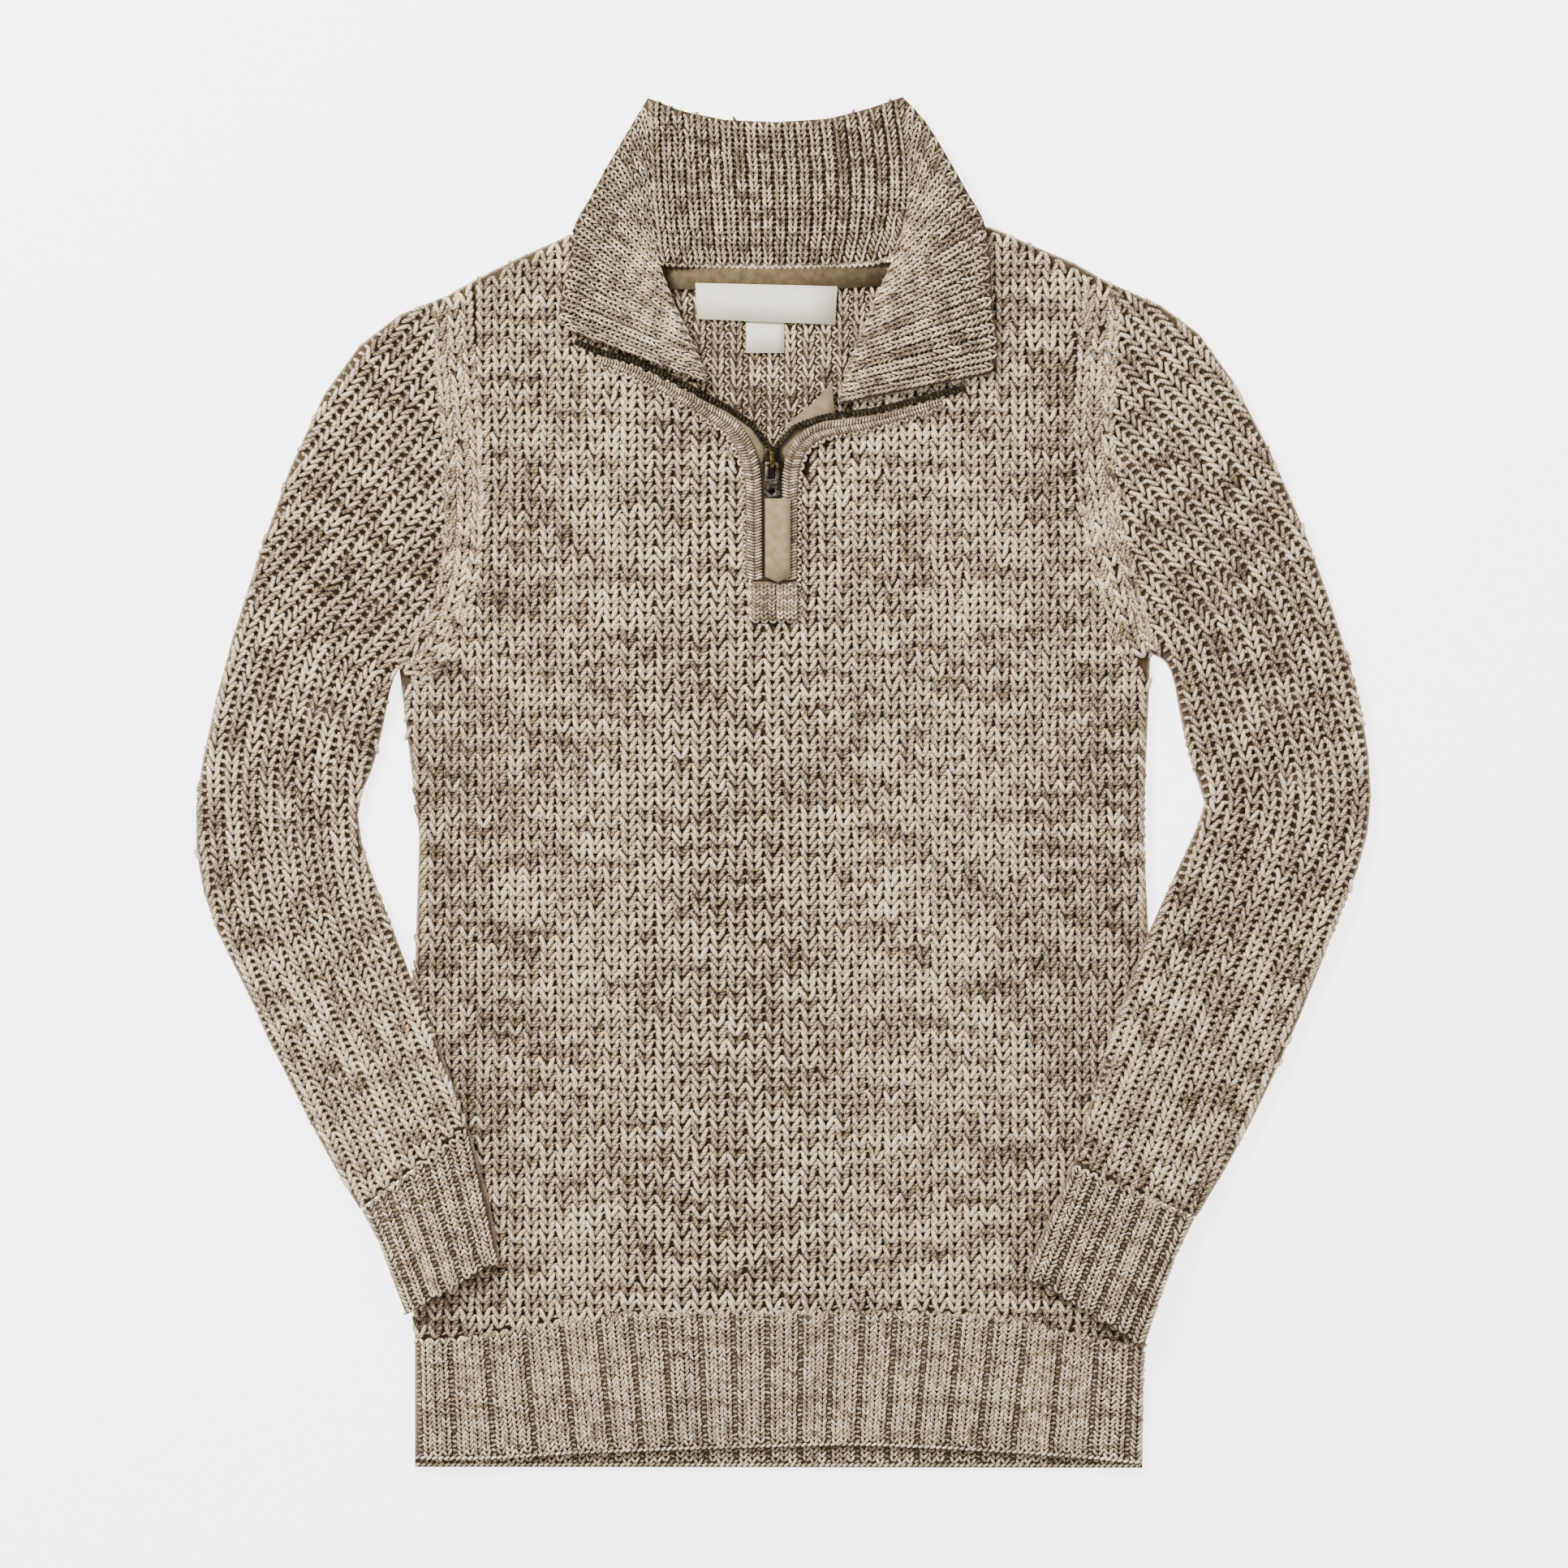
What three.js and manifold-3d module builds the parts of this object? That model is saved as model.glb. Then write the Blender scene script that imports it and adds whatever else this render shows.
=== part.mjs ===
// A child's knitted quarter zip sweater, laid flat on its back with the front upwards.
// All sizes are millimetres. X runs across the chest, Y from the hem to the collar, Z up off the table.
// Left and right are the viewer's.

import * as THREE from 'three';
import { mergeVertices } from 'three/addons/utils/BufferGeometryUtils.js';
import Module from 'manifold-3d';

// Driving dimensions

const WALL = 2.4; // knit, without its raised ribs
const LAYER_GAP = 0.8; // air between the front and the back
const SEAM_GAP = 0.3; // between two pieces that meet
// The sleeve's seam: its gap, the wider gap at its foot, and how many rows of the sleeve follow its curve
const ARMHOLE = { gap: 0.4, footGap: 0.8, footReach: 5, fade: 4.5 };
const INSET_LEFT = 0.4; // what is left of the inner face's step back where the rounding ends
const RIB_HEIGHT = 1.1; // a raised knit rib
const HEM_RIB_HEIGHT = 0.8;
const ROLL = 5; // how far in from a folded side the cloth is still rounding
const SIDE_BULGE = { height: 1.6, start: 8, end: 20, reach: 60 }; // extra air inside the folded sides
const ARMPIT = { low: 40, high: 110 }; // heights between which the bulge fades out
const SLEEVE_GAP = 2.6; // air inside a sleeve
const CUFF_GAP = 1.6;
const COLLAR_WALL = 4.4; // the collar is double cloth
const COLLAR_FOOT = 2.9; // the collar's foot stands this high over the back panel
const COLLAR_RIB = 0.9;
const SIDE_RIBS = 18; // on each side of the zip opening
const SLIT_RIBS = 2; // straight below it
const SLEEVE_RIBS = 12;
const SLEEVE_ROWS = 19;
const SLEEVE_BESIDE = 0; // above this height a sleeve lies beside the body, not on it
const UNDERSIDE_COLUMNS = 5;
const CUFF_RIBS = 4;
// Where a sleeve climbs onto the body: distances in from its side, heights, and the air left between them
const CROSSING = { start: -26, end: -3, low: -35, high: -5, margin: 1 };
const HEM_RIBS = 21;
const HEM_SWAY = 5.2; // the ribs at the sides of the hem are wider than those in the middle
const COLLAR_BACK_RIBS = 20;
const SLIT_BOTTOM = 72; // height of the foot of the zip opening
// The zip's middle line, and the heights of its pieces' undersides
const ZIP = { centre: -5, tape: 5.9, teeth: 7.2, band: 7.2, tapeThickness: 1, teethThickness: 2.2 };
const BAND = { low: ZIP.band, thickness: 2.6 };
const TEETH_ROW = { width: 2.8, low: ZIP.teeth, thickness: ZIP.teethThickness };
const BAND_END = { left: -13.7, middle: -3.2, right: 6.4, bottom: 72.6, top: 89.4, thickness: 2 };
const SLIDER = {
  width: 9.4,
  top: 148.5,
  length: 14,
  plateThickness: 1.1,
  footShare: 0.72, // width of its lower end, as a share of the whole width
  shoulderShare: 0.45, // height at which it is at its widest, as a share of the length
  chamfer: 1.5,
  neck: { width: 1, depth: 1.6, setback: 0.8 },
  bridge: { width: 2.2, foot: 139.2, head: 147.4, leg: 1.2, rise: 3.3 },
};
const HINGE = { y: 141.6, z: 11.9 }; // the pull's bar, under the bridge
const PULL = {
  width: 7.2,
  length: 15.8,
  thickness: 1.2,
  slotWidth: 3.1,
  slotLength: 6.2,
  barDepth: 1.2,
  hole: 1.5,
  holeUp: 2.9, // from the lower end to the middle of the hole
};
const TAB = {
  left: -8,
  right: 3.2,
  top: 126.1,
  shoulder: 91.5,
  point: 2.5, // how far its tip hangs below its shoulders
  high: 11.1, // height of its underside at the top and at the shoulders
  low: 10.2,
  thickness: 1.6,
  wave: 0.3,
};
const TAPE_HEIGHT = 2.7; // the neck tape lies on the back panel
const TAPE_THICKNESS = 0.8;
const NECK_TAPE = [
  { x: -52, high: 228.6, low: 219.8 },
  { x: -3, high: 228.4, low: 218 },
  { x: 41, high: 229, low: 221 },
];
const LABEL_WAVE = 0.35; // how far a label's lower edge lifts in its middle
const LABELS = {
  main: {
    topLeft: [-39, 222],
    topRight: [24, 220.5],
    bottomRight: [23, 203.5],
    bottomLeft: [-38, 206],
    height: 3.8,
    thickness: 0.7,
  },
  size: {
    topLeft: [-16.5, 207],
    topRight: [0.5, 206.5],
    bottomRight: [0.5, 191],
    bottomLeft: [-16.5, 191],
    height: 2.7,
    thickness: 0.6,
  },
};

const COLOURS = {
  knit: 0xa79886,
  rib: 0xa99a86,
  band: 0x9a8b75,
  tape: 0x93846a,
  twill: 0xb1a389,
  label: 0xe9e3d6,
  metal: 0x3a3222,
};

// Outline of the body, from the foot of each armhole down and up

const SIDES = {
  left: {
    inwards: 1,
    armhole: [
      { y: 51.5, x: -170.5 },
      { y: 58.5, x: -161 },
      { y: 78, x: -151 },
      { y: 94.5, x: -146.5 },
      { y: 125.5, x: -144.5 },
      { y: 151, x: -145.5 },
      { y: 189, x: -148.5 },
      { y: 216, x: -150 },
    ],
    edge: [
      { y: -304, x: -163.5 },
      { y: -247.5, x: -163.5 },
      { y: -156.5, x: -163.5 },
      { y: -84, x: -164 },
      { y: -50, x: -162 },
      { y: -17.5, x: -161.5 },
      { y: 8.5, x: -163 },
      { y: 35, x: -165.5 },
      { y: 51.5, x: -170.5 },
    ],
  },
  right: {
    inwards: -1,
    armhole: [
      { y: 57, x: 163 },
      { y: 67.5, x: 158 },
      { y: 94, x: 150.5 },
      { y: 113.5, x: 145 },
      { y: 139.5, x: 142 },
      { y: 166, x: 141 },
      { y: 198.5, x: 143.5 },
      { y: 222, x: 145 },
    ],
    edge: [
      { y: -304, x: 159.5 },
      { y: -251, x: 160 },
      { y: -156.5, x: 163 },
      { y: -57, x: 164 },
      { y: -27, x: 161 },
      { y: -5.5, x: 158 },
      { y: 19.5, x: 156.5 },
      { y: 38, x: 158.5 },
      { y: 57, x: 163 },
    ],
  },
};

// Top edges: along the shoulder, then down the neckline under the collar

const FRONT_TOP = {
  left: [
    { x: -150, y: 216 },
    { x: -133, y: 225.5 },
    { x: -117, y: 233.5 },
    { x: -95.5, y: 243 },
    { x: -81, y: 248.5 },
    { x: -66.5, y: 252 },
    { x: -63, y: 236 },
    { x: -58, y: 219 },
    { x: -49, y: 198 },
    { x: -40, y: 178 },
    { x: -33, y: 165.5 },
    { x: -21.5, y: 150 },
  ],
  right: [
    { x: 13.5, y: 150 },
    { x: 20, y: 154 },
    { x: 28.5, y: 158 },
    { x: 31.5, y: 174 },
    { x: 37.5, y: 189.5 },
    { x: 48, y: 211 },
    { x: 58, y: 232 },
    { x: 66.5, y: 252 },
    { x: 81, y: 250 },
    { x: 95.5, y: 245.5 },
    { x: 110, y: 239 },
    { x: 129, y: 231 },
    { x: 145, y: 222 },
  ],
};

const SLIT = {
  left: [
    { y: 72, x: -13.5 },
    { y: 98.5, x: -13.5 },
    { y: 117, x: -14.5 },
    { y: 136.5, x: -16.5 },
    { y: 150, x: -21.5 },
  ],
  right: [
    { y: 72, x: 6 },
    { y: 117, x: 6 },
    { y: 139, x: 8 },
    { y: 150, x: 13.5 },
  ],
};

const BACK_NECK = { left: -60, right: 55, corner: 66.5, seam: 228.8 };

const HEM_SEAM = [
  { x: -170, y: -247.5 },
  { x: -146, y: -247 },
  { x: -112.5, y: -241.5 },
  { x: -85.5, y: -237 },
  { x: -50, y: -235 },
  { x: 3.5, y: -234.5 },
  { x: 70, y: -235.5 },
  { x: 103.5, y: -238.5 },
  { x: 137, y: -246.5 },
  { x: 165, y: -251 },
];

const HEM_EDGE = {
  front: [
    { x: -170, y: -300 },
    { x: -130, y: -300 },
    { x: -85.5, y: -297.5 },
    { x: 3.5, y: -294.5 },
    { x: 48, y: -294.5 },
    { x: 126, y: -299 },
    { x: 165, y: -303 },
  ],
  back: [
    { x: -170, y: -303.5 },
    { x: 165, y: -304 },
  ],
};

// A sleeve is a flattened tube: these are its two folded edges, from the armhole to the cuff

const SLEEVES = {
  left: [
    { outerX: -150, outerY: 216, innerX: -170.5, innerY: 51.5 },
    { outerX: -176.5, outerY: 204, innerX: -174, innerY: 48.5 },
    { outerX: -199, outerY: 180, innerX: -175, innerY: 44 },
    { outerX: -219, outerY: 138.5, innerX: -175, innerY: 36 },
    { outerX: -238, outerY: 84, innerX: -177, innerY: 26 },
    { outerX: -250, outerY: 43, innerX: -179.5, innerY: 15 },
    { outerX: -258, outerY: 6, innerX: -183, innerY: 3.5 },
    { outerX: -260.5, outerY: -20, innerX: -188, innerY: -9 },
    { outerX: -257.5, outerY: -46, innerX: -187, innerY: -24 },
    { outerX: -249, outerY: -70, innerX: -181.5, innerY: -42 },
    { outerX: -238.5, outerY: -90, innerX: -173.5, innerY: -62 },
    { outerX: -228.5, outerY: -113, innerX: -164.5, innerY: -86 },
    { outerX: -215.5, outerY: -138.5, innerX: -155, innerY: -109 },
    { outerX: -203, outerY: -163, innerX: -146.5, innerY: -131 },
    { outerX: -187.5, outerY: -189, innerX: -139.5, innerY: -152.5 },
  ],
  right: [
    { outerX: 145, outerY: 222, innerX: 163, innerY: 57 },
    { outerX: 172.5, outerY: 209, innerX: 165, innerY: 56.5 },
    { outerX: 192, outerY: 190, innerX: 168, innerY: 55 },
    { outerX: 213, outerY: 153, innerX: 171, innerY: 51 },
    { outerX: 231.5, outerY: 111, innerX: 173.5, innerY: 43 },
    { outerX: 244.5, outerY: 74, innerX: 175.5, innerY: 31 },
    { outerX: 254, outerY: 43, innerX: 178.5, innerY: 17 },
    { outerX: 259, outerY: 16, innerX: 183, innerY: 2.5 },
    { outerX: 260.5, outerY: -8, innerX: 186.5, innerY: -10 },
    { outerX: 257.5, outerY: -29, innerX: 181.5, innerY: -23 },
    { outerX: 250.5, outerY: -49, innerX: 173, innerY: -41 },
    { outerX: 240, outerY: -76, innerX: 163, innerY: -62.5 },
    { outerX: 227.5, outerY: -107, innerX: 153.5, innerY: -86 },
    { outerX: 213, outerY: -139, innerX: 144, innerY: -114 },
    { outerX: 198, outerY: -167.5, innerX: 135, innerY: -144 },
    { outerX: 183, outerY: -192.5, innerX: 128, innerY: -168.5 },
  ],
};

const CUFFS = {
  left: [
    { outerX: -187, outerY: -189.6, innerX: -139.2, innerY: -153.2 },
    { outerX: -179, outerY: -204.5, innerX: -134.5, innerY: -169 },
    { outerX: -173.5, outerY: -219, innerX: -130, innerY: -185.5 },
    { outerX: -167, outerY: -235.5, innerX: -125.5, innerY: -211.5 },
  ],
  right: [
    { outerX: 182.6, outerY: -193.2, innerX: 127.6, innerY: -169.2 },
    { outerX: 174, outerY: -210, innerX: 121.5, innerY: -184.5 },
    { outerX: 167, outerY: -228.5, innerX: 114.5, innerY: -200 },
    { outerX: 160, outerY: -249.5, innerX: 107, innerY: -218 },
  ],
};

// The collar's leaves: fold line and outer edge, from the peak down to the zip, with the heights of the
// cloth's upper face at both, and of its underside at the fold. The first row is the peak, where both
// lines start, and the fold line meets the neck seam at the fifth.

const LEAVES = {
  left: [
    { foldX: -60, foldY: 304, outerX: -60, outerY: 304, fold: 7, edge: 7, floor: 2.6 },
    { foldX: -59.5, foldY: 285, outerX: -66.5, outerY: 293, fold: 9, edge: 11, floor: 0.8 },
    { foldX: -58.8, foldY: 266, outerX: -77, outerY: 275, fold: 11, edge: 14, floor: 0 },
    { foldX: -57.5, foldY: 247, outerX: -86, outerY: 258.5, fold: 12.5, edge: 15, floor: 0 },
    { foldX: -54.5, foldY: 230.6, outerX: -92.5, outerY: 247, fold: 12.8, edge: 14.5, floor: 2.9 },
    { foldX: -50, foldY: 217.5, outerX: -94, outerY: 234, fold: 12.8, edge: 13, floor: 2.9 },
    { foldX: -46, foldY: 208.5, outerX: -96.5, outerY: 224, fold: 12.6, edge: 12.3, floor: 2.9 },
    { foldX: -42.5, foldY: 200.5, outerX: -98.5, outerY: 216, fold: 12.4, edge: 12, floor: 2.9 },
    { foldX: -39.5, foldY: 194, outerX: -99.5, outerY: 210, fold: 12.2, edge: 12, floor: 2.9 },
    { foldX: -37, foldY: 188, outerX: -99, outerY: 206, fold: 12, edge: 12, floor: 2.9 },
    { foldX: -35, foldY: 183, outerX: -97, outerY: 203, fold: 12, edge: 12, floor: 2.9 },
    { foldX: -33, foldY: 177, outerX: -95, outerY: 201, fold: 12, edge: 12, floor: 2.9 },
  ],
  right: [
    { foldX: 53, foldY: 304.5, outerX: 53, outerY: 304.5, fold: 7, edge: 7, floor: 2.6 },
    { foldX: 56, foldY: 286, outerX: 63, outerY: 293.5, fold: 9, edge: 11, floor: 0.8 },
    { foldX: 57.8, foldY: 268, outerX: 73, outerY: 277, fold: 11, edge: 14, floor: 0 },
    { foldX: 56, foldY: 250, outerX: 82, outerY: 261, fold: 12.5, edge: 15, floor: 0 },
    { foldX: 50, foldY: 235, outerX: 88.5, outerY: 250, fold: 12.8, edge: 14.5, floor: 2.9 },
    { foldX: 44.5, foldY: 223.5, outerX: 91, outerY: 238, fold: 12.8, edge: 13, floor: 2.9 },
    { foldX: 40.5, foldY: 214.5, outerX: 92, outerY: 227, fold: 12.6, edge: 12.3, floor: 2.9 },
    { foldX: 37, foldY: 206, outerX: 92.5, outerY: 216, fold: 12.4, edge: 12, floor: 2.9 },
    { foldX: 33.5, foldY: 198, outerX: 93.5, outerY: 206, fold: 12.2, edge: 12, floor: 2.9 },
    { foldX: 30.5, foldY: 190, outerX: 95, outerY: 197, fold: 12, edge: 12, floor: 2.9 },
    { foldX: 27.5, foldY: 181.5, outerX: 95, outerY: 189, fold: 12, edge: 12, floor: 2.9 },
    { foldX: 24.5, foldY: 168, outerX: 92, outerY: 181.5, fold: 12, edge: 12, floor: 2.9 },
  ],
};

const COLLAR_BACK_TOP = [
  { x: -60, y: 304 },
  { x: -45.5, y: 298.5 },
  { x: -26, y: 294.5 },
  { x: -3, y: 293.5 },
  { x: 20, y: 295 },
  { x: 38, y: 299.5 },
  { x: 53, y: 304.5 },
];

const COLLAR_BACK_SEAM = [
  { x: -54.5, y: 230.6 },
  { x: -41.5, y: 229.8 },
  { x: -3, y: 229.3 },
  { x: 38, y: 230.5 },
  { x: 50, y: 235 },
];

// The two rows of teeth, from the slider up the opening and along the collar's front edges

const TEETH = {
  left: [
    { x: -6.6, y: 91 },
    { x: -6.6, y: 140 },
    { x: -7.6, y: 150 },
    { x: -13.5, y: 158.5 },
    { x: -24, y: 166 },
    { x: -34, y: 171.5 },
    { x: -48, y: 179 },
    { x: -65, y: 187 },
    { x: -82, y: 191.5 },
    { x: -92.5, y: 196 },
  ],
  right: [
    { x: -3.4, y: 91 },
    { x: -3.4, y: 140 },
    { x: -2.2, y: 150 },
    { x: 5, y: 157.5 },
    { x: 15.5, y: 161.5 },
    { x: 25.5, y: 163.5 },
    { x: 39.5, y: 165 },
    { x: 53.5, y: 168.5 },
    { x: 67, y: 172 },
    { x: 81, y: 175.5 },
  ],
};

// Knitted bands beside the teeth: the middle of each band and its width

const BANDS = {
  left: [
    { x: -12.6, y: 90, width: 7.2 },
    { x: -12.8, y: 117, width: 7.2 },
    { x: -13.4, y: 137, width: 7.4 },
    { x: -17, y: 149, width: 7.6 },
    { x: -22.5, y: 157.5, width: 7.6 },
    { x: -31.5, y: 164, width: 6.8 },
    { x: -42.5, y: 170.3, width: 5.8 },
    { x: -56.2, y: 177.6, width: 4.8 },
    { x: -70, y: 184, width: 4 },
    { x: -82, y: 187.8, width: 3 },
  ],
  right: [
    { x: 2.4, y: 90, width: 7.6 },
    { x: 2.6, y: 120, width: 7.6 },
    { x: 2.9, y: 136, width: 7.8 },
    { x: 5.8, y: 147, width: 7.8 },
    { x: 11.5, y: 153.6, width: 7.6 },
    { x: 19, y: 157, width: 7.4 },
    { x: 29.2, y: 158.6, width: 6.2 },
    { x: 42.2, y: 160.9, width: 5 },
    { x: 56.3, y: 164.7, width: 4 },
    { x: 70.2, y: 169.1, width: 2.8 },
  ],
};

// The zip's tapes and facings: edge next to the teeth's far side and edge towards the neck opening

const TAPES = {
  left: [
    { nearX: -5.35, nearY: 84, farX: -12.5, farY: 84 },
    { nearX: -5.35, nearY: 138, farX: -12.8, farY: 136 },
    { nearX: -6.8, nearY: 150.5, farX: -17, farY: 148 },
    { nearX: -13.5, nearY: 160.5, farX: -22, farY: 157 },
    { nearX: -27, nearY: 169.8, farX: -30, farY: 164.2 },
  ],
  right: [
    { nearX: -5.05, nearY: 84, farX: 2.4, farY: 84 },
    { nearX: -5.05, nearY: 138, farX: 2.8, farY: 136 },
    { nearX: -3.5, nearY: 150.5, farX: 6, farY: 147 },
    { nearX: 2, nearY: 159.5, farX: 11.5, farY: 153.5 },
    { nearX: 14, nearY: 169.5, farX: 18, farY: 157 },
    { nearX: 21.5, nearY: 177.5, farX: 23.6, farY: 158 },
  ],
};

// Folds in the cloth that lies on top: each runs from one place to another, raised or, below nought, sunk

const FOLDS = [
  { x: -156, y: 58, toX: -138, toY: 22, width: 7, height: 1.4 },
  { x: -150, y: 70, toX: -122, toY: 52, width: 6, height: 1 },
  { x: 152, y: 66, toX: 132, toY: 34, width: 7, height: 1.4 },
  { x: 149, y: 84, toX: 120, toY: 66, width: 6, height: 1 },
  { x: -120, y: -40, toX: -96, toY: -120, width: 12, height: 0.9 },
  { x: 96, y: -70, toX: 116, toY: -150, width: 13, height: 0.9 },
  { x: -60, y: -150, toX: 10, toY: -165, width: 14, height: 0.7 },
  { x: -186, y: 2, toX: -226, toY: -7, width: 4, height: -2.2 },
  { x: -184, y: 13, toX: -240, toY: 6, width: 8, height: 1.8 },
  { x: -188, y: -17, toX: -232, toY: -26, width: 9, height: 1.6 },
  { x: -176, y: 46, toX: -216, toY: 86, width: 9, height: 1.6 },
  { x: -178, y: 30, toX: -236, toY: 34, width: 8, height: 1 },
  { x: 206, y: 62, toX: 201, toY: 4, width: 5, height: 1.5 },
  { x: 218, y: 66, toX: 213, toY: 0, width: 5, height: 1.6 },
  { x: 230, y: 60, toX: 228, toY: -8, width: 5, height: 1.3 },
  { x: 188, y: -8, toX: 232, toY: -34, width: 6, height: 1.5 },
  { x: 184, y: -18, toX: 212, toY: -46, width: 4, height: -1.4 },
  { x: 176, y: 52, toX: 200, toY: 106, width: 9, height: 1.4 },
  { x: -206, y: -96, toX: -168, toY: -104, width: 8, height: 1 },
  { x: 190, y: -100, toX: 158, toY: -118, width: 8, height: 1 },
];

// Small helpers

const mix = (a, b, share) => a + (b - a) * share;
const clamp = (value, low, high) => Math.min(Math.max(value, low), high);

/** Nought below `low`, one above `high`, and a soft slope between. */
function ease(value, low, high) {
  const share = clamp((value - low) / (high - low), 0, 1);
  return share * share * (3 - 2 * share);
}

/** The rise of a quarter circle: nought at the edge, one from `share` one on. */
function arc(share) {
  const left = 1 - clamp(share, 0, 1);
  return Math.sqrt(1 - left * left);
}

/** Reads column `want` of a table in straight lines, where column `by` has the value `at`. */
function read(rows, by, at, want) {
  let next = rows.findIndex((row) => row[by] >= at);
  if (next < 0) next = rows.length - 1;
  const last = rows[Math.max(next - 1, 0)];
  const row = rows[Math.max(next, 1)];
  const share = clamp((at - last[by]) / (row[by] - last[by] || 1), 0, 1);
  return mix(last[want], row[want], share);
}

/** Reads every column of a table smoothly at a row number that may lie between two rows. */
function between(rows, number) {
  const low = Math.min(Math.floor(number), rows.length - 2);
  const share = number - low;
  const found = {};
  for (const name of Object.keys(rows[low])) {
    const [a, b] = [rows[low][name], rows[low + 1][name]];
    const before = low > 0 ? rows[low - 1][name] : 2 * a - b;
    const after = low + 2 < rows.length ? rows[low + 2][name] : 2 * b - a;
    const [leave, arrive] = [(b - before) / 2, (after - a) / 2];
    const bend = (1 - share) * leave - share * arrive + (b - a) * (2 * share - 1);
    found[name] = mix(a, b, share) + share * (1 - share) * bend;
  }
  return found;
}

/** Evenly spaced numbers from `from` to `to`, both ends among them. */
function steps(from, to, count) {
  return Array.from({ length: count + 1 }, (_, i) => mix(from, to, i / count));
}

/** How far the folds lift or sink the upper cloth at a place. */
function foldHeight(x, y) {
  let height = 0;
  for (const fold of FOLDS) {
    const [dx, dy] = [fold.toX - fold.x, fold.toY - fold.y];
    const length = Math.hypot(dx, dy);
    const along = ((x - fold.x) * dx + (y - fold.y) * dy) / length;
    const across = ((x - fold.x) * dy - (y - fold.y) * dx) / length;
    const ends = ease(along, -fold.width, fold.width) * ease(length - along, -fold.width, fold.width);
    height += fold.height * ends * Math.exp(-((across / fold.width) ** 2));
  }
  return height;
}

/** Cloth as pairs of points, one on its face and one on its back, joined by triangles. */
class Cloth {
  constructor() {
    this.faces = [];
    this.backs = [];
    this.triangles = [];
    this.known = new Map();
  }

  /** Adds a place, or finds the one already there, and gives its number. */
  place(face, back) {
    const key = [...face, ...back].map((value) => value.toFixed(3)).join();
    if (!this.known.has(key)) {
      this.known.set(key, this.faces.length);
      this.faces.push(face);
      this.backs.push(back);
    }
    return this.known.get(key);
  }

  /** Joins columns of places, all with the same number of rows, into a net. */
  net(columns) {
    for (let c = 1; c < columns.length; c += 1) {
      for (let r = 1; r < columns[c].length; r += 1) {
        const [a, b] = [columns[c - 1][r - 1], columns[c][r - 1]];
        const [d, e] = [columns[c - 1][r], columns[c][r]];
        this.triangles.push([a, b, e], [a, e, d]);
      }
    }
    return this;
  }

  /** The closed solid: face, back and the rims that join them. */
  solid() {
    const count = this.faces.length;
    const kept = this.triangles.filter(([a, b, c]) => a !== b && b !== c && c !== a);
    const rims = new Map();
    for (const [a, b, c] of kept) {
      for (const [from, to] of [[a, b], [b, c], [c, a]]) {
        if (!rims.delete(`${to} ${from}`)) rims.set(`${from} ${to}`, [from, to]);
      }
    }
    const index = [];
    for (const [a, b, c] of kept) index.push(a, b, c, c + count, b + count, a + count);
    for (const [from, to] of rims.values()) {
      index.push(to, from, from + count, to, from + count, to + count);
    }
    const points = [...this.faces, ...this.backs];
    const corner = new THREE.Vector3();
    let volume = 0;
    for (let i = 0; i < index.length; i += 3) {
      const [a, b, c] = [0, 1, 2].map((k) => new THREE.Vector3(...points[index[i + k]]));
      volume += a.dot(corner.crossVectors(b, c));
    }
    if (volume < 0) index.reverse();
    const geometry = new THREE.BufferGeometry();
    geometry.setAttribute('position', new THREE.Float32BufferAttribute(points.flat(), 3));
    geometry.setIndex(index);
    return geometry;
  }
}

// The body: two panels that lie on each other, joined at the sides and shoulders

const EDGE_STEPS = [0, 1.5, ROLL];
const ROWS_TO_ARMHOLE = 4;
const ROWS_BELOW_SLIT = ROWS_TO_ARMHOLE + 3;

/** Where the rows beside the slit start, and the armhole's rows at the two sides. */
const SPLIT = [
  { x: SIDES.left.edge[1].x, y: SIDES.left.armhole[2].y },
  { x: SLIT.left[0].x, y: SLIT_BOTTOM },
  { x: SLIT.right[0].x, y: SLIT_BOTTOM },
  { x: SIDES.right.edge[1].x, y: SIDES.right.armhole[2].y },
];

const hemSeam = (x) => read(HEM_SEAM, 'x', x, 'y');

/** The rows' shares of the height below and above the split, as the armhole's points need them. */
function armholeShares({ armhole, edge }) {
  const low = hemSeam(edge[1].x) + SEAM_GAP / 2;
  const middle = armhole[2].y;
  const high = armhole.at(-1).y - ROLL;
  const lower = armhole.slice(0, 3).map((row) => (row.y - low) / (middle - low));
  const upper = armhole.slice(3, -1).map((row) => (row.y - middle) / (high - middle));
  return [...steps(0, lower[0], ROWS_TO_ARMHOLE), ...lower.slice(1), ...upper];
}

const SHARES = { left: armholeShares(SIDES.left), right: armholeShares(SIDES.right) };

/**
 * The heights of a column's rows. At the sides they pass through every point of the armhole's table, and
 * the columns between share them out in the same proportions.
 */
function rowHeights(bottomX, top) {
  const bottom = hemSeam(bottomX) + SEAM_GAP / 2;
  const split = read(SPLIT, 'x', bottomX, 'y');
  const across = clamp((bottomX - SPLIT[0].x) / (SPLIT[3].x - SPLIT[0].x), 0, 1);
  const heights = SHARES.left.map((leftShare, row) => {
    const share = mix(leftShare, SHARES.right[row], across);
    return row < ROWS_BELOW_SLIT ? mix(bottom, split, share) : mix(split, top - ROLL, share);
  });
  return [...heights, ...EDGE_STEPS.toReversed().map((step) => top - step)];
}

/** The x of a body edge at a height. Above the foot of the armhole it is the armhole's seam. */
function edgeX(side, y) {
  const { armhole, edge } = SIDES[side];
  return y > armhole[0].y ? read(armhole, 'y', y, 'x') : read(edge, 'y', y, 'x');
}

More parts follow.
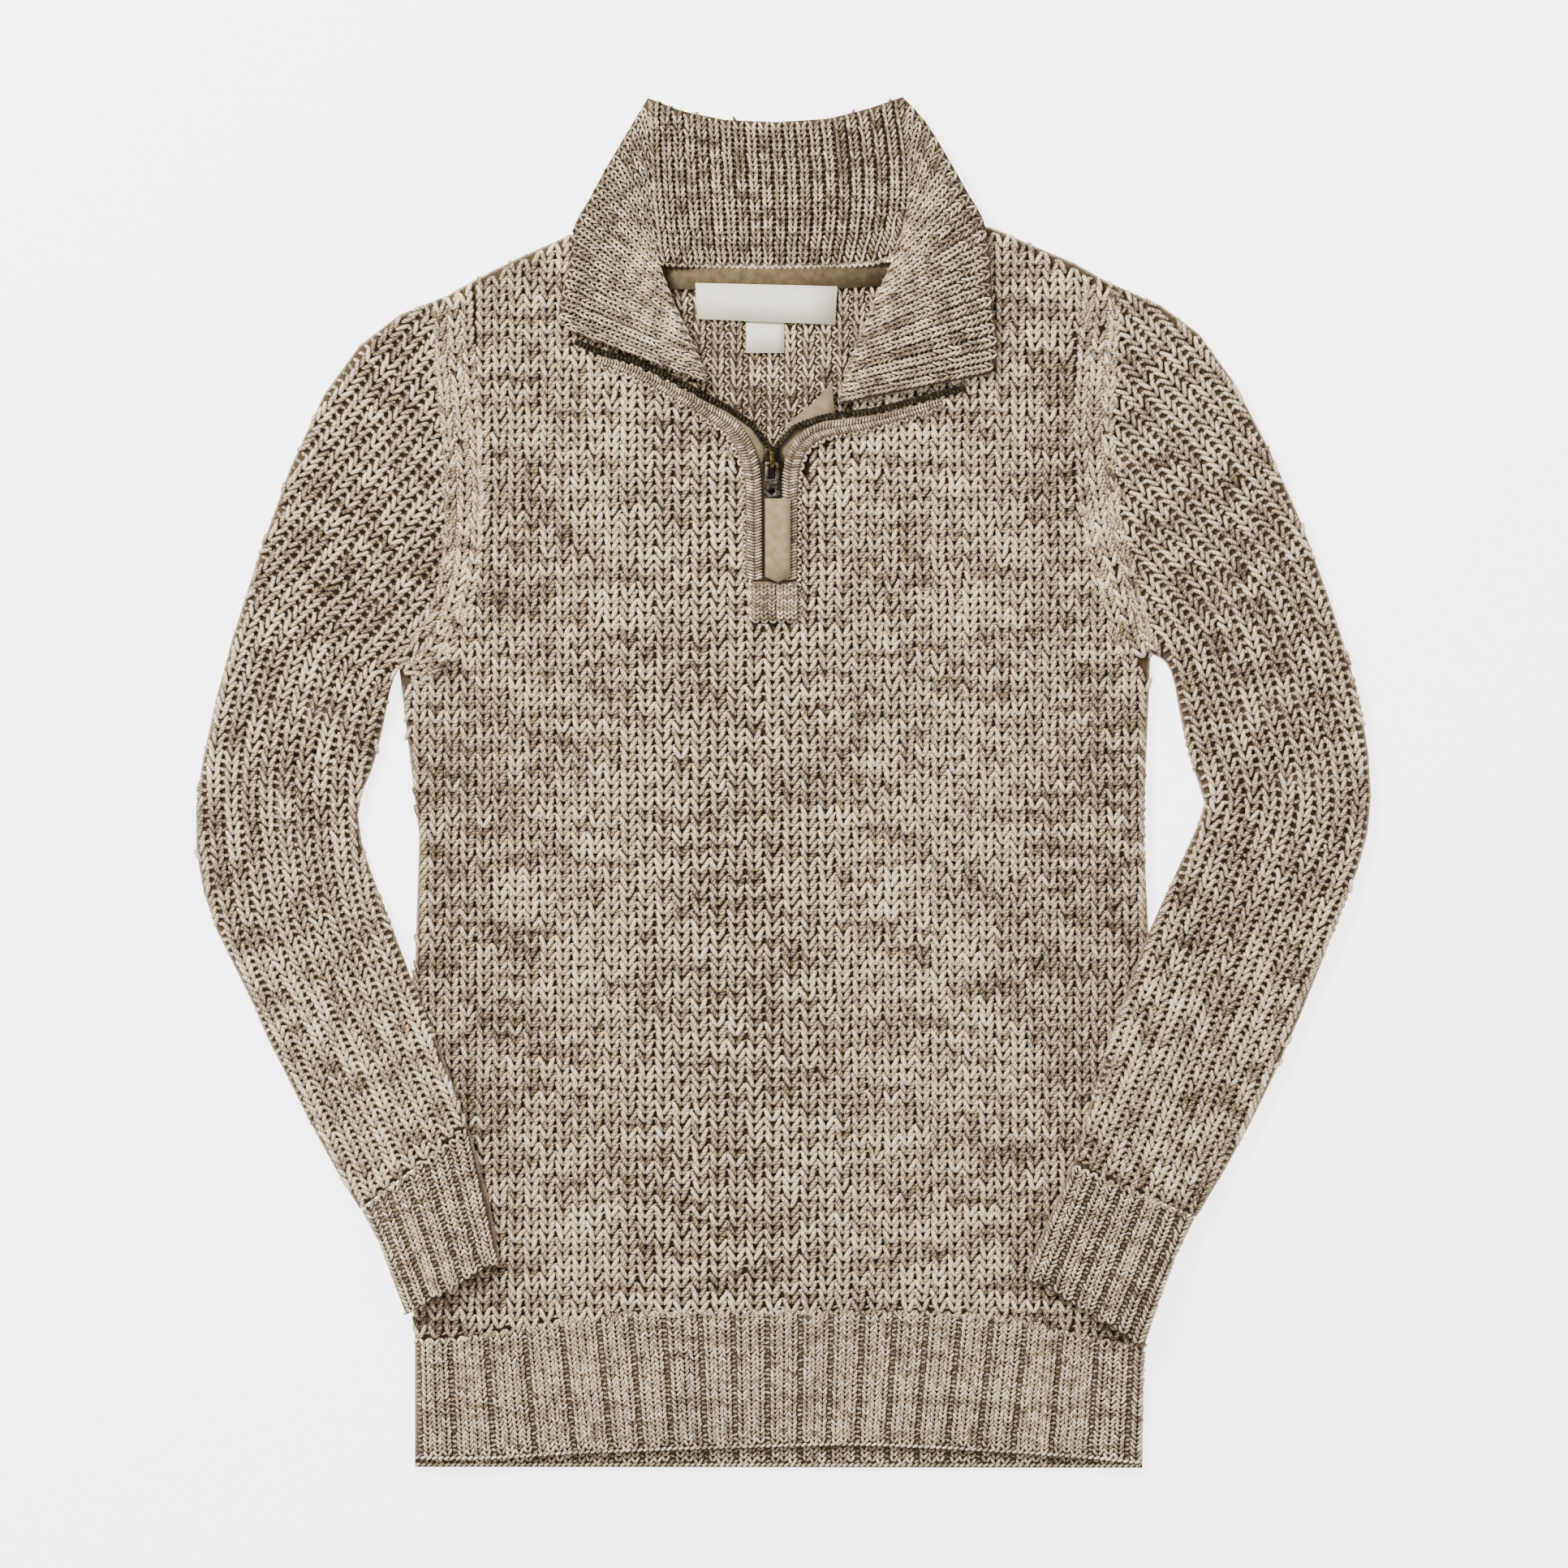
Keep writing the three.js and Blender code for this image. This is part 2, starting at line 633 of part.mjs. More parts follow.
/** Air between the two panels of the body. */
function bodyGap(x, y) {
  const inside = Math.min(x - edgeX('left', y), edgeX('right', y) - x);
  const { height, start, end, reach } = SIDE_BULGE;
  const shape = ease(inside, 0, start) * (1 - ease(inside, end, reach));
  const bulge = height * shape * (1 - ease(y, ARMPIT.low, ARMPIT.high));
  return LAYER_GAP + bulge + Math.max(foldHeight(x, y), -LAYER_GAP / 2);
}

/** The height of the top of the body, ribs left out. */
const bodyTop = (x, y) => 2 * WALL + bodyGap(x, y);

/** One where a side edge is folded, nought where it is open to the sleeve. */
function sideClosed(side, y) {
  const foot = SIDES[side].armhole[0].y;
  return 1 - ease(y, foot, foot + 12);
}

/** How far the inner face stands back from a folded edge, at a distance from that edge. */
const inset = (distance) => mix(WALL, INSET_LEFT, clamp(distance / ROLL, 0, 1));

/** A place on a panel: `side` and `top` are distances from its edges, and the folds how closed they are. */
function panelPlace(cloth, panel, { x, y, side, top, sideFold, topFold, rib, inwards }) {
  const middle = bodyTop(x, y) / 2;
  const sign = panel === 'front' ? 1 : -1;
  const sideInset = side > ROLL + 0.1 ? 0 : sideFold * inset(side);
  const topInset = top > ROLL + 0.1 ? 0 : topFold * inset(top);
  const rounding = (distance, fold, reach) => mix(1, arc(distance / reach), fold);
  const outerRound = Math.min(rounding(side, sideFold, ROLL), rounding(top, topFold, ROLL));
  const innerRound = Math.min(
    rounding(side + sideInset - WALL, sideFold, ROLL - WALL),
    rounding(top + topInset - WALL, topFold, ROLL - WALL),
  );
  const half = SEAM_GAP / 2;
  const outer = middle + sign * mix(half, middle, outerRound) + rib * outerRound;
  const inner = middle + sign * mix(half, middle - WALL, innerRound);
  return cloth.place([x, y, outer], [x + inwards * sideInset, y - topInset, inner]);
}

/** Columns across a zone as shares of its width. Every other one is the crest of a rib. */
function plainColumns(count) {
  return steps(0, 1, count).map((share, number) => ({ share, offset: 0, crest: number % 2 === 1 }));
}

/** The close columns at a folded side, between the side and the first plain column. */
function closeColumns(share) {
  const places = EDGE_STEPS.slice(0, -1).map((step) => ({ share, offset: step - ROLL, crest: false }));
  if (share === 0) return places;
  return places.map((place) => ({ ...place, offset: -place.offset })).reverse();
}

/** Adds one stretch of a panel's net, between two lines that run up the panel. */
function panelZone(cloth, panel, { from, to, columns, top, low = false }) {
  const places = columns.map(({ share, offset, crest }) => {
    const lineX = (y) => mix(from(y), to(y), share) + offset;
    const topX = lineX(1000);
    const edge = top(topX);
    const heights = rowHeights(lineX(-1000), edge);
    const rows = low ? heights.slice(0, ROWS_BELOW_SLIT) : heights;
    return rows.map((y) => {
      const x = lineX(y);
      const nearest = x < ZIP.centre ? 'left' : 'right';
      return panelPlace(cloth, panel, {
        x,
        y,
        side: Math.abs(x - edgeX(nearest, y)),
        top: edge - y,
        sideFold: sideClosed(nearest, y),
        topFold: Math.abs(topX) > BACK_NECK.corner - 0.1 && !low ? 1 : 0,
        rib: panel === 'front' && crest ? RIB_HEIGHT : 0,
        inwards: SIDES[nearest].inwards,
      });
    });
  });
  cloth.net(places);
}

/** The line along which a side's first plain column runs. */
const sideLine = (side) => (y) =>
  edgeX(side, Math.min(y, SIDES[side].armhole.at(-1).y)) + SIDES[side].inwards * ROLL;

function frontPanel() {
  const cloth = new Cloth();
  const slit = (side) => (y) => read(SLIT[side], 'y', y, 'x');
  panelZone(cloth, 'front', {
    from: sideLine('left'),
    to: slit('left'),
    columns: [...closeColumns(0), ...plainColumns(2 * SIDE_RIBS)],
    top: shoulder('left'),
  });
  panelZone(cloth, 'front', {
    from: slit('left'),
    to: slit('right'),
    columns: plainColumns(2 * SLIT_RIBS),
    top: () => SLIT_BOTTOM,
    low: true,
  });
  panelZone(cloth, 'front', {
    from: slit('right'),
    to: sideLine('right'),
    columns: [...plainColumns(2 * SIDE_RIBS), ...closeColumns(1)],
    top: shoulder('right'),
  });
  return cloth.solid();
}

const shoulder = (side) => (x) => read(FRONT_TOP[side], 'x', x, 'y');

const BACK_NECKLINE = [
  { x: -BACK_NECK.corner, y: shoulder('left')(-BACK_NECK.corner) },
  { x: BACK_NECK.left, y: BACK_NECK.seam },
  { x: BACK_NECK.right, y: BACK_NECK.seam },
  { x: BACK_NECK.corner, y: shoulder('right')(BACK_NECK.corner) },
];

/** The stretches of the back panel and of its hem, with the top edge of each. */
function backZones() {
  const neckline = (x) => read(BACK_NECKLINE, 'x', x, 'y');
  const [outerLeft, left, right, outerRight] = BACK_NECKLINE.map(({ x }) => () => x);
  return [
    {
      from: sideLine('left'),
      to: outerLeft,
      columns: [...closeColumns(0), ...plainColumns(5)],
      top: shoulder('left'),
    },
    { from: outerLeft, to: left, columns: plainColumns(1), top: neckline },
    { from: left, to: right, columns: plainColumns(6), top: neckline },
    { from: right, to: outerRight, columns: plainColumns(1), top: neckline },
    {
      from: outerRight,
      to: sideLine('right'),
      columns: [...plainColumns(5), ...closeColumns(1)],
      top: shoulder('right'),
    },
  ];
}

function backPanel() {
  const cloth = new Cloth();
  for (const zone of backZones()) panelZone(cloth, 'back', zone);
  return cloth.solid();
}

/** Ribs of the hem and the cuffs: flat tops with narrow gutters, as shares of a rib's width. */
const WIDE_RIB = [
  { share: 0.02, crest: false },
  { share: 0.14, crest: true },
  { share: 0.74, crest: true },
  { share: 0.86, crest: false },
];

function wideRibs(count) {
  const ribs = steps(0, count - 1, count - 1).flatMap((number) =>
    WIDE_RIB.map(({ share, crest }) => ({ share: (number + share) / count, offset: 0, crest })),
  );
  ribs[0].share = 0;
  return [...ribs, { share: 1, offset: 0, crest: false }];
}

function hemRib(panel) {
  const cloth = new Cloth();
  const front = panel === 'front';
  const ribs = [...closeColumns(0), ...wideRibs(HEM_RIBS), ...closeColumns(1)];
  const zones = front ? [{ from: sideLine('left'), to: sideLine('right'), columns: ribs }] : backZones();
  for (const { from, to, columns } of zones) {
    const places = columns.map(({ share, offset, crest }) => {
      const sway = front ? HEM_SWAY * Math.sin(2 * Math.PI * share) : 0;
      const lineX = (y) => mix(from(y), to(y), share) + offset + sway;
      const low = read(HEM_EDGE[panel], 'x', lineX(HEM_EDGE.back[0].y), 'y');
      const high = hemSeam(lineX(HEM_SEAM[0].y)) - SEAM_GAP / 2;
      return steps(low, high, 2).map((y) => {
        const x = lineX(y);
        const nearest = x < ZIP.centre ? 'left' : 'right';
        return panelPlace(cloth, panel, {
          x,
          y,
          side: Math.abs(x - edgeX(nearest, y)),
          top: Infinity,
          sideFold: 1,
          topFold: 0,
          rib: front && crest ? HEM_RIB_HEIGHT : 0,
          inwards: SIDES[nearest].inwards,
        });
      });
    });
    cloth.net(places);
  }
  return cloth.solid();
}

// Sleeves and cuffs: flattened tubes, open at both ends

/** The height that a sleeve rests at: the table's, or the body's where it crosses the body. */
function supportHeight(x, y) {
  const inside = Math.min(x - edgeX('left', y), edgeX('right', y) - x);
  const { margin, start, end, low, high } = CROSSING;
  const crossing = (1 - ease(y, low, high)) * ease(inside, start, end);
  return crossing * (bodyTop(x, y) + RIB_HEIGHT + margin);
}

/** A tube's columns, once round: over the top from the outer edge, and back underneath. */
function ringColumns(topColumns, length) {
  const low = EDGE_STEPS.map((distance) => ({ distance, crest: false, up: 1 }));
  const high = EDGE_STEPS.map((step) => ({ distance: length - step, crest: false, up: 1 })).reverse();
  const top = topColumns.slice(1, -1).map(({ share, crest }) => {
    return { distance: mix(ROLL, length - ROLL, share), crest, up: 1 };
  });
  const under = steps(ROLL, length - ROLL, UNDERSIDE_COLUMNS).map((distance) => ({ distance }));
  const below = [low[1], ...under, high[1]].map(({ distance }) => ({ distance, crest: false, up: -1 }));
  return [...low, ...top, ...high, ...below.reverse()];
}

/**
 * A flattened tube along a table of its two folded edges. `bend` moves a place's x to the armhole's curve,
 * and `gap` says how much air is inside.
 */
function tube(table, { rows, topColumns, ribHeight, bend, gap }) {
  const cloth = new Cloth();
  const stations = steps(0, table.length - 1, rows).map((number) => {
    const { outerX, outerY, innerX, innerY } = between(table, number);
    const length = Math.hypot(innerX - outerX, innerY - outerY);
    return ringColumns(topColumns, length).map(({ distance, crest, up }) => {
      const spot = (share) => {
        const [x, y] = [mix(outerX, innerX, share), mix(outerY, innerY, share)];
        return [bend(x, y, number, share), y];
      };
      const near = Math.min(distance, length - distance);
      const pull = near > ROLL + 0.1 ? 0 : inset(near);
      const towards = distance < length / 2 ? 1 : -1;
      const [x, y] = spot(distance / length);
      const [innerPlaceX, innerPlaceY] = spot((distance + towards * pull) / length);
      const air = gap(number) + Math.max(foldHeight(x, y), -gap(number) / 2);
      const half = WALL + air / 2;
      const outerRound = arc(near / ROLL);
      const innerRound = arc((near + pull - WALL) / (ROLL - WALL));
      const middle = supportHeight(x, y) + half;
      const rib = crest ? ribHeight * outerRound : 0;
      return cloth.place(
        [x, y, middle + up * half * outerRound + rib],
        [innerPlaceX, innerPlaceY, middle + (up * air * innerRound) / 2],
      );
    });
  });
  for (const ring of stations) ring.push(ring[0]);
  return cloth.net(stations).solid();
}

function sleeve(side) {
  const { armhole, inwards } = SIDES[side];
  const [top, foot] = [armhole.at(-1), armhole[0]];
  return tube(SLEEVES[side], {
    rows: SLEEVE_ROWS,
    topColumns: plainColumns(2 * SLEEVE_RIBS),
    ribHeight: RIB_HEIGHT,
    gap: (number) => mix(LAYER_GAP, SLEEVE_GAP, ease(number, 0, 3)),
    bend: (x, y, number, share) => {
      const { gap, footGap, footReach, fade } = ARMHOLE;
      const curve = edgeX(side, mix(top.y, foot.y, share)) - mix(top.x, foot.x, share);
      const bent = x + curve * (1 - ease(number, 0, fade)) - inwards * gap;
      const atFoot = footGap * (1 - ease(y, foot.y, foot.y + footReach));
      const seamX = edgeX(side, Math.min(y, top.y)) - inwards * (gap * (1 + number) + atFoot);
      return y > SLEEVE_BESIDE && (seamX - bent) * inwards < 0 ? seamX : bent;
    },
  });
}

function cuff(side) {
  return tube(CUFFS[side], {
    rows: CUFFS[side].length - 1,
    topColumns: wideRibs(CUFF_RIBS),
    ribHeight: HEM_RIB_HEIGHT,
    gap: () => CUFF_GAP,
    bend: (x) => x,
  });
}

// The collar: double cloth, its back lying down and its two front parts folded outwards

const LEAF_CORNER = 4; // the leaf table's row where the fold meets the neck seam
const LEAF_STEPS = 2 * (LEAVES.left.length - 1);
const LEAF_FOOT = COLLAR_FOOT + SEAM_GAP; // height of the leaf's foot on the neck seam
const LEAF_SHARES = [0, 1 / 3, 2 / 3, 1]; // the leaf's rows between its fold and its rim
const FOLD = { reach: 3, shift: 2.8, footWidth: 3.6, steep: 0.15, high: 0.6 };
const RIM = { width: 3, drop: 1.4, underside: 3.4, inset: 0.6 };

/** The places of a leaf's column, from the fold line or neck seam to the outer edge. */
function leafColumn(cloth, table, step) {
  const row = between(table, step / 2);
  const [dx, dy] = [row.outerX - row.foldX, row.outerY - row.foldY];
  const length = Math.hypot(dx, dy);
  const at = (along, z) => {
    const share = length ? along / length : 0;
    return [row.foldX + dx * share, row.foldY + dy * share, z];
  };
  const floor = Math.max(row.floor, 0);
  const onSeam = clamp((step - 2 * LEAF_CORNER) / 2, 0, 1);
  const start = [
    at(0, mix(floor + COLLAR_WALL, LEAF_FOOT, onSeam)),
    at(onSeam * FOLD.footWidth, mix(floor, LEAF_FOOT, onSeam)),
  ];
  const first = cloth.place(...start);
  if (!length) return Array(LEAF_SHARES.length + 3).fill(first);
  const reach = Math.min(FOLD.reach, length / 3);
  const shift = Math.min(FOLD.shift, length / 3);
  const rim = Math.max(length - RIM.width, length * 0.6);
  const height = (along) => mix(row.fold, row.edge, clamp((along - reach) / (rim - reach), 0, 1));
  const rib = step % 2 === 1 ? COLLAR_RIB : 0;
  const second = cloth.place(
    at(FOLD.steep * reach, mix(start[0][2], height(reach), FOLD.high)),
    at(reach / 4 + shift, mix(floor, height(reach) - COLLAR_WALL, 0.5)),
  );
  const middle = LEAF_SHARES.map((share) => {
    const along = mix(reach, rim, share);
    const under = along + shift * (1 - share);
    return cloth.place(at(along, height(along) + rib), at(under, height(under) - COLLAR_WALL));
  });
  const last = cloth.place(at(length, row.edge - RIM.drop), at(length - RIM.inset, row.edge - RIM.underside));
  return [first, second, ...middle, last];
}

const PEAK_REACH = 24; // how far from the fold lines the collar's back lies raised

function collar() {
  const cloth = new Cloth();
  const leaves = ['left', 'right'].map((side) =>
    steps(0, LEAF_STEPS, LEAF_STEPS).map((step) => leafColumn(cloth, LEAVES[side], step)),
  );
  const folds = leaves.map((leaf) => leaf.slice(0, 2 * LEAF_CORNER + 1).map((column) => column[0]).reverse());
  const rows = folds[0].length;
  const backColumns = steps(0, 1, 2 * COLLAR_BACK_RIBS).map((share, number, all) => {
    if (number === 0) return folds[0];
    if (number === all.length - 1) return folds[1];
    return folds[0].map((_, row) => {
      const [left, right] = folds.map((fold) => cloth.backs[fold[row]]);
      const x = mix(left[0], right[0], share);
      const seam = read(COLLAR_BACK_SEAM, 'x', x, 'y');
      const y = mix(seam, read(COLLAR_BACK_TOP, 'x', x, 'y'), row / (rows - 1));
      const fade = (distance) => 1 - ease(distance, 0, PEAK_REACH);
      const low = left[2] * fade(x - left[0]) + right[2] * fade(right[0] - x);
      const rib = number % 2 === 1 && row > 0 && row < rows - 1 ? COLLAR_RIB : 0;
      return cloth.place([x, y, low + COLLAR_WALL + rib], [x, y, low]);
    });
  });
  cloth.net(backColumns);
  cloth.net(leaves[0].map((column) => column.toReversed()));
  cloth.net(leaves[1]);
  return cloth.solid();
}

// Trims: strips laid along a line, and flat patches

/** A strip along a table of its middle line. Its top is `shape`: shares across and of its thickness. */
function ribbon(rows, { width, low, thickness, shape }) {
  const cloth = new Cloth();
  const columns = rows.map((row, number) => {
    const before = rows[Math.max(number - 1, 0)];
    const after = rows[Math.min(number + 1, rows.length - 1)];
    const length = Math.hypot(after.x - before.x, after.y - before.y);
    const [nx, ny] = [(before.y - after.y) / length, (after.x - before.x) / length];
    const wide = row.width ?? width;
    return shape.map(([share, height]) => {
      const across = (share - 0.5) * wide;
      const [x, y] = [row.x + nx * across, row.y + ny * across];
      return cloth.place([x, y, low + thickness * height], [x, y, low]);
    });
  });
  return cloth.net(columns).solid();
}

const ROUND_TOP = [[0, 0.5], [0.12, 0.85], [0.35, 1], [0.65, 1], [0.88, 0.85], [1, 0.5]];
const FLAT_TOP = [[0, 1], [1, 1]];

/** A thin patch through rows of [x, y, underside height]. */
function patch(rows, thickness) {
  const cloth = new Cloth();
  const places = rows.map((row) => row.map(([x, y, z]) => cloth.place([x, y, z + thickness], [x, y, z])));
  return cloth.net(places).solid();
}

function zipTape(side) {
  const rows = TAPES[side].map(({ nearX, nearY, farX, farY }) => [
    [nearX, nearY, ZIP.tape],
    [farX, farY, ZIP.tape],
  ]);
  return patch(rows, ZIP.tapeThickness);
}

/** The end of a placket band, stitched down under the foot of the zip. */
function bandEnd(from, to) {
  const across = [from, mix(from, to, 0.5), to];
  const rows = [BAND_END.bottom, BAND_END.top].map((y) => across.map((x) => [x, y, ZIP.band]));
  return patch(rows, BAND_END.thickness);
}

function neckTape() {
  const rows = NECK_TAPE.map(({ x, high, low }) => [[x, high, TAPE_HEIGHT], [x, low, TAPE_HEIGHT]]);
  return patch(rows, TAPE_THICKNESS);
}

function label({ topLeft, topRight, bottomRight, bottomLeft, height, thickness }) {
  const corner = (left, right, share) => left.map((value, axis) => mix(value, right[axis], share));
  const rows = steps(0, 1, 4).map((share) => {
    const wave = LABEL_WAVE * Math.sin(share * Math.PI);
    return [
      [...corner(topLeft, topRight, share), height],
      [...corner(bottomLeft, bottomRight, share), height + wave],
    ];
  });
  return patch(rows, thickness);
}

function pullTab() {
  const middle = mix(TAB.left, TAB.right, 0.5);
  const rows = steps(TAB.top, TAB.shoulder, 5).map((y) => {
    const share = (TAB.top - y) / (TAB.top - TAB.shoulder);
    const z = mix(TAB.high, TAB.low, share) + TAB.wave * Math.sin(share * Math.PI);
    return [TAB.left, mix(TAB.left, middle, 0.5), middle, mix(middle, TAB.right, 0.5), TAB.right].map((x) => {
      const drop = share === 1 ? (1 - Math.abs(x - middle) / (TAB.right - middle)) * TAB.point : 0;
      return [x, y - drop, z];
    });
  });
  return patch(rows, TAB.thickness);
}

// Hard pieces of the zip

const WELD = 0.2; // how far the pieces of the slider run into each other

/** A flat plate with the given outline, and holes, between two heights. */
function plate(points, low, high, holes = []) {
  const shape = new THREE.Shape(points.map(([x, y]) => new THREE.Vector2(x, y)));
  shape.holes = holes;
  const options = { depth: high - low, bevelEnabled: false, curveSegments: 12 };
  return new THREE.ExtrudeGeometry(shape, options).translate(0, 0, low);
}

/** The four corners of a rectangle, anticlockwise. */
const rectangle = (left, right, bottom, top) => [[left, bottom], [right, bottom], [right, top], [left, top]];

const wasm = await Module();
wasm.setup();

function toManifold(geometry) {
  const bare = new THREE.BufferGeometry().setAttribute('position', geometry.getAttribute('position'));
  if (geometry.index) bare.setIndex(geometry.index);
  const merged = mergeVertices(bare);
  return new wasm.Manifold(
    new wasm.Mesh({
      numProp: 3,
      vertProperties: new Float32Array(merged.getAttribute('position').array),
      triVerts: new Uint32Array(merged.index.array),
    }),
  );
}

function joined(geometries) {
  const mesh = geometries.map(toManifold).reduce((whole, piece) => whole.add(piece)).getMesh();
  const geometry = new THREE.BufferGeometry();
  geometry.setAttribute('position', new THREE.Float32BufferAttribute(mesh.vertProperties, 3));
  return geometry.setIndex([...mesh.triVerts]);
}

/** The slider: a plate over and one under the teeth, the neck between them, and the bridge on top. */
function slider() {
  const { width, top, length, plateThickness, footShare, shoulderShare, chamfer, bridge, neck } = SLIDER;
  const x = ZIP.centre;
  const half = width / 2;
  const foot = top - length;
  const [narrow, shoulder] = [half * footShare, foot + length * shoulderShare];
  const rightSide = [
    [narrow, foot],
    [half, shoulder],
    [half, top - chamfer],
    [half / 2, top],
    [neck.width / 2, top - neck.setback / 2],
  ];
  const leftSide = rightSide.map(([px, py]) => [-px, py]).toReversed();
  const outline = [...rightSide, ...leftSide].map(([px, py]) => [x + px, py]);
  const under = ZIP.tape - SEAM_GAP;
  const over = ZIP.teeth + ZIP.teethThickness + SEAM_GAP;
  const deck = over + plateThickness;
  const peak = deck + bridge.rise;
  const bar = (bottom, high, low) =>
    plate(rectangle(x - bridge.width / 2, x + bridge.width / 2, bottom, high), low, peak);
  const neckTop = top - neck.setback;
  return joined([
    plate(outline, under - plateThickness, under),
    plate(outline, over, deck),
    plate(
      rectangle(x - neck.width / 2, x + neck.width / 2, neckTop - neck.depth, neckTop),
      under - WELD,
      over + WELD,
    ),
    bar(bridge.foot, bridge.foot + bridge.leg, deck - WELD),
    bar(bridge.head - bridge.leg, bridge.head, deck - WELD),
    bar(bridge.foot, bridge.head, peak - bridge.leg),
  ]);
}

/** The metal link that hangs on the bridge: a bar, two arms round a slot, and a plate with a hole. */
function pullLink() {
  const { width, length, thickness, slotWidth, slotLength, barDepth, hole, holeUp } = PULL;
  const x = ZIP.centre;
  const top = HINGE.y + barDepth / 2;
  const slotTop = top - barDepth;
  const slot = new THREE.Path(
    rectangle(x - slotWidth / 2, x + slotWidth / 2, slotTop - slotLength, slotTop)
      .toReversed()
      .map(([px, py]) => new THREE.Vector2(px, py)),
  );
  const ring = new THREE.Path().absarc(x, top - length + holeUp, hole, 0, 2 * Math.PI, true);
  const outline = rectangle(x - width / 2, x + width / 2, top - length, top);
  return plate(outline, HINGE.z - thickness / 2, HINGE.z + thickness / 2, [slot, ring]);
}

// The whole garment

const knit = (color) => new THREE.MeshStandardMaterial({ color, roughness: 0.95, metalness: 0 });
const metal = new THREE.MeshStandardMaterial({ color: COLOURS.metal, roughness: 0.4, metalness: 1 });

const pieces = [
  ['back', backPanel(), knit(COLOURS.knit)],
  ['front', frontPanel(), knit(COLOURS.knit)],
  ['back_hem_rib', hemRib('back'), knit(COLOURS.rib)],
  ['front_hem_rib', hemRib('front'), knit(COLOURS.rib)],
  ['sleeve_left', sleeve('left'), knit(COLOURS.knit)],
  ['sleeve_right', sleeve('right'), knit(COLOURS.knit)],
  ['cuff_left', cuff('left'), knit(COLOURS.rib)],
  ['cuff_right', cuff('right'), knit(COLOURS.rib)],
  ['collar', collar(), knit(COLOURS.rib)],
  ['placket_band_left', ribbon(BANDS.left, { ...BAND, shape: ROUND_TOP }), knit(COLOURS.band)],
  ['placket_band_right', ribbon(BANDS.right, { ...BAND, shape: ROUND_TOP }), knit(COLOURS.band)],
  ['band_end_left', bandEnd(BAND_END.left, BAND_END.middle - SEAM_GAP), knit(COLOURS.band)],
  ['band_end_right', bandEnd(BAND_END.middle, BAND_END.right), knit(COLOURS.band)],
  ['zip_tape_left', zipTape('left'), knit(COLOURS.tape)],
  ['zip_tape_right', zipTape('right'), knit(COLOURS.tape)],
  ['zip_teeth_left', ribbon(TEETH.left, { ...TEETH_ROW, shape: FLAT_TOP }), metal],
  ['zip_teeth_right', ribbon(TEETH.right, { ...TEETH_ROW, shape: FLAT_TOP }), metal],
  ['neck_tape', neckTape(), knit(COLOURS.tape)],
  ['label_main', label(LABELS.main), knit(COLOURS.label)],
  ['label_size', label(LABELS.size), knit(COLOURS.label)],
  ['zip_slider', slider(), metal],
  ['zip_pull_link', pullLink(), metal],
  ['zip_pull_tab', pullTab(), knit(COLOURS.twill)],
];

const garment = new THREE.Group();
const bounds = new THREE.Box3();
for (const [name, geometry, material] of pieces) {
  geometry.computeBoundingBox();
  bounds.union(geometry.boundingBox);
  const mesh = new THREE.Mesh(geometry, material);
  mesh.name = name;
  garment.add(mesh);
}

// The middle of the outline is set over the origin, and the underside on the table
const centre = bounds.getCenter(new THREE.Vector3());
for (const mesh of garment.children) {
  mesh.geometry.translate(-centre.x, -centre.y, -bounds.min.z);
  mesh.geometry.computeVertexNormals();
}

export default garment;
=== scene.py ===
"""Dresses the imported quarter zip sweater: knitted stitches, ribs, seams, zip and labels, laid flat."""

import logging
import math
from collections.abc import Sequence
from dataclasses import dataclass, field
from enum import Enum

import bmesh
import bpy
import numpy as np
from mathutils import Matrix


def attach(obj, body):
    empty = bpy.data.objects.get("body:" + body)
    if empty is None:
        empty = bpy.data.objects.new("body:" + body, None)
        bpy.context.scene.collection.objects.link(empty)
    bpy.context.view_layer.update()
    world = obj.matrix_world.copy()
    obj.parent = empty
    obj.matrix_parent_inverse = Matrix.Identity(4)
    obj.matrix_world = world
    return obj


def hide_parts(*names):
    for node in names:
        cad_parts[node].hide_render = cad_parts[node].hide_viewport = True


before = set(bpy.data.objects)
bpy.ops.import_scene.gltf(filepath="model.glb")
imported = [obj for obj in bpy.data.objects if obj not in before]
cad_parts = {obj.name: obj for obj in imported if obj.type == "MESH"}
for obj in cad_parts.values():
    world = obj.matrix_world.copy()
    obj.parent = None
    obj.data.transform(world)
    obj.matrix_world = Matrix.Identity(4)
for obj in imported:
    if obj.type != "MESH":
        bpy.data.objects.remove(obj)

MM = 0.001
SHIFT = np.array([-0.165, -0.254]) * MM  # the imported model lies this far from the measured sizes
COURSE = 3.84 * MM  # height of one row of the body's stitches
Rows = Sequence[Sequence[float]]
log = logging.getLogger("sweater")


class Side(Enum):
    """A side of the garment, as the viewer sees it, with the direction that it faces."""

    LEFT = -1
    RIGHT = 1


class Slot(Enum):
    """The material slots."""

    KNIT = "knit"
    RIB = "rib"
    BAND = "band"
    TAPE = "tape"
    TWILL = "twill"
    LABEL = "label"
    METAL = "metal"


def places(rows: Rows) -> np.ndarray:
    """Turns measured places in millimetres into the frame's metres.

    Args:
        rows: x and y of each place.

    Returns:
        One row of x and y for each place.
    """
    return np.array(rows, float) * MM + SHIFT


def steady(count: int, seed: int) -> np.ndarray:
    """Gives numbers spread evenly from -1 to 1, the same ones on every run.

    Args:
        count: How many numbers.
        seed: Which series.

    Returns:
        The numbers.
    """
    return np.random.default_rng(seed).uniform(-1, 1, count)


def unit(vectors: np.ndarray) -> np.ndarray:
    """Scales vectors to length one.

    Args:
        vectors: The vectors, along the last axis.

    Returns:
        The scaled vectors.
    """
    return vectors / np.maximum(np.linalg.norm(vectors, axis=-1, keepdims=True), 1e-12)


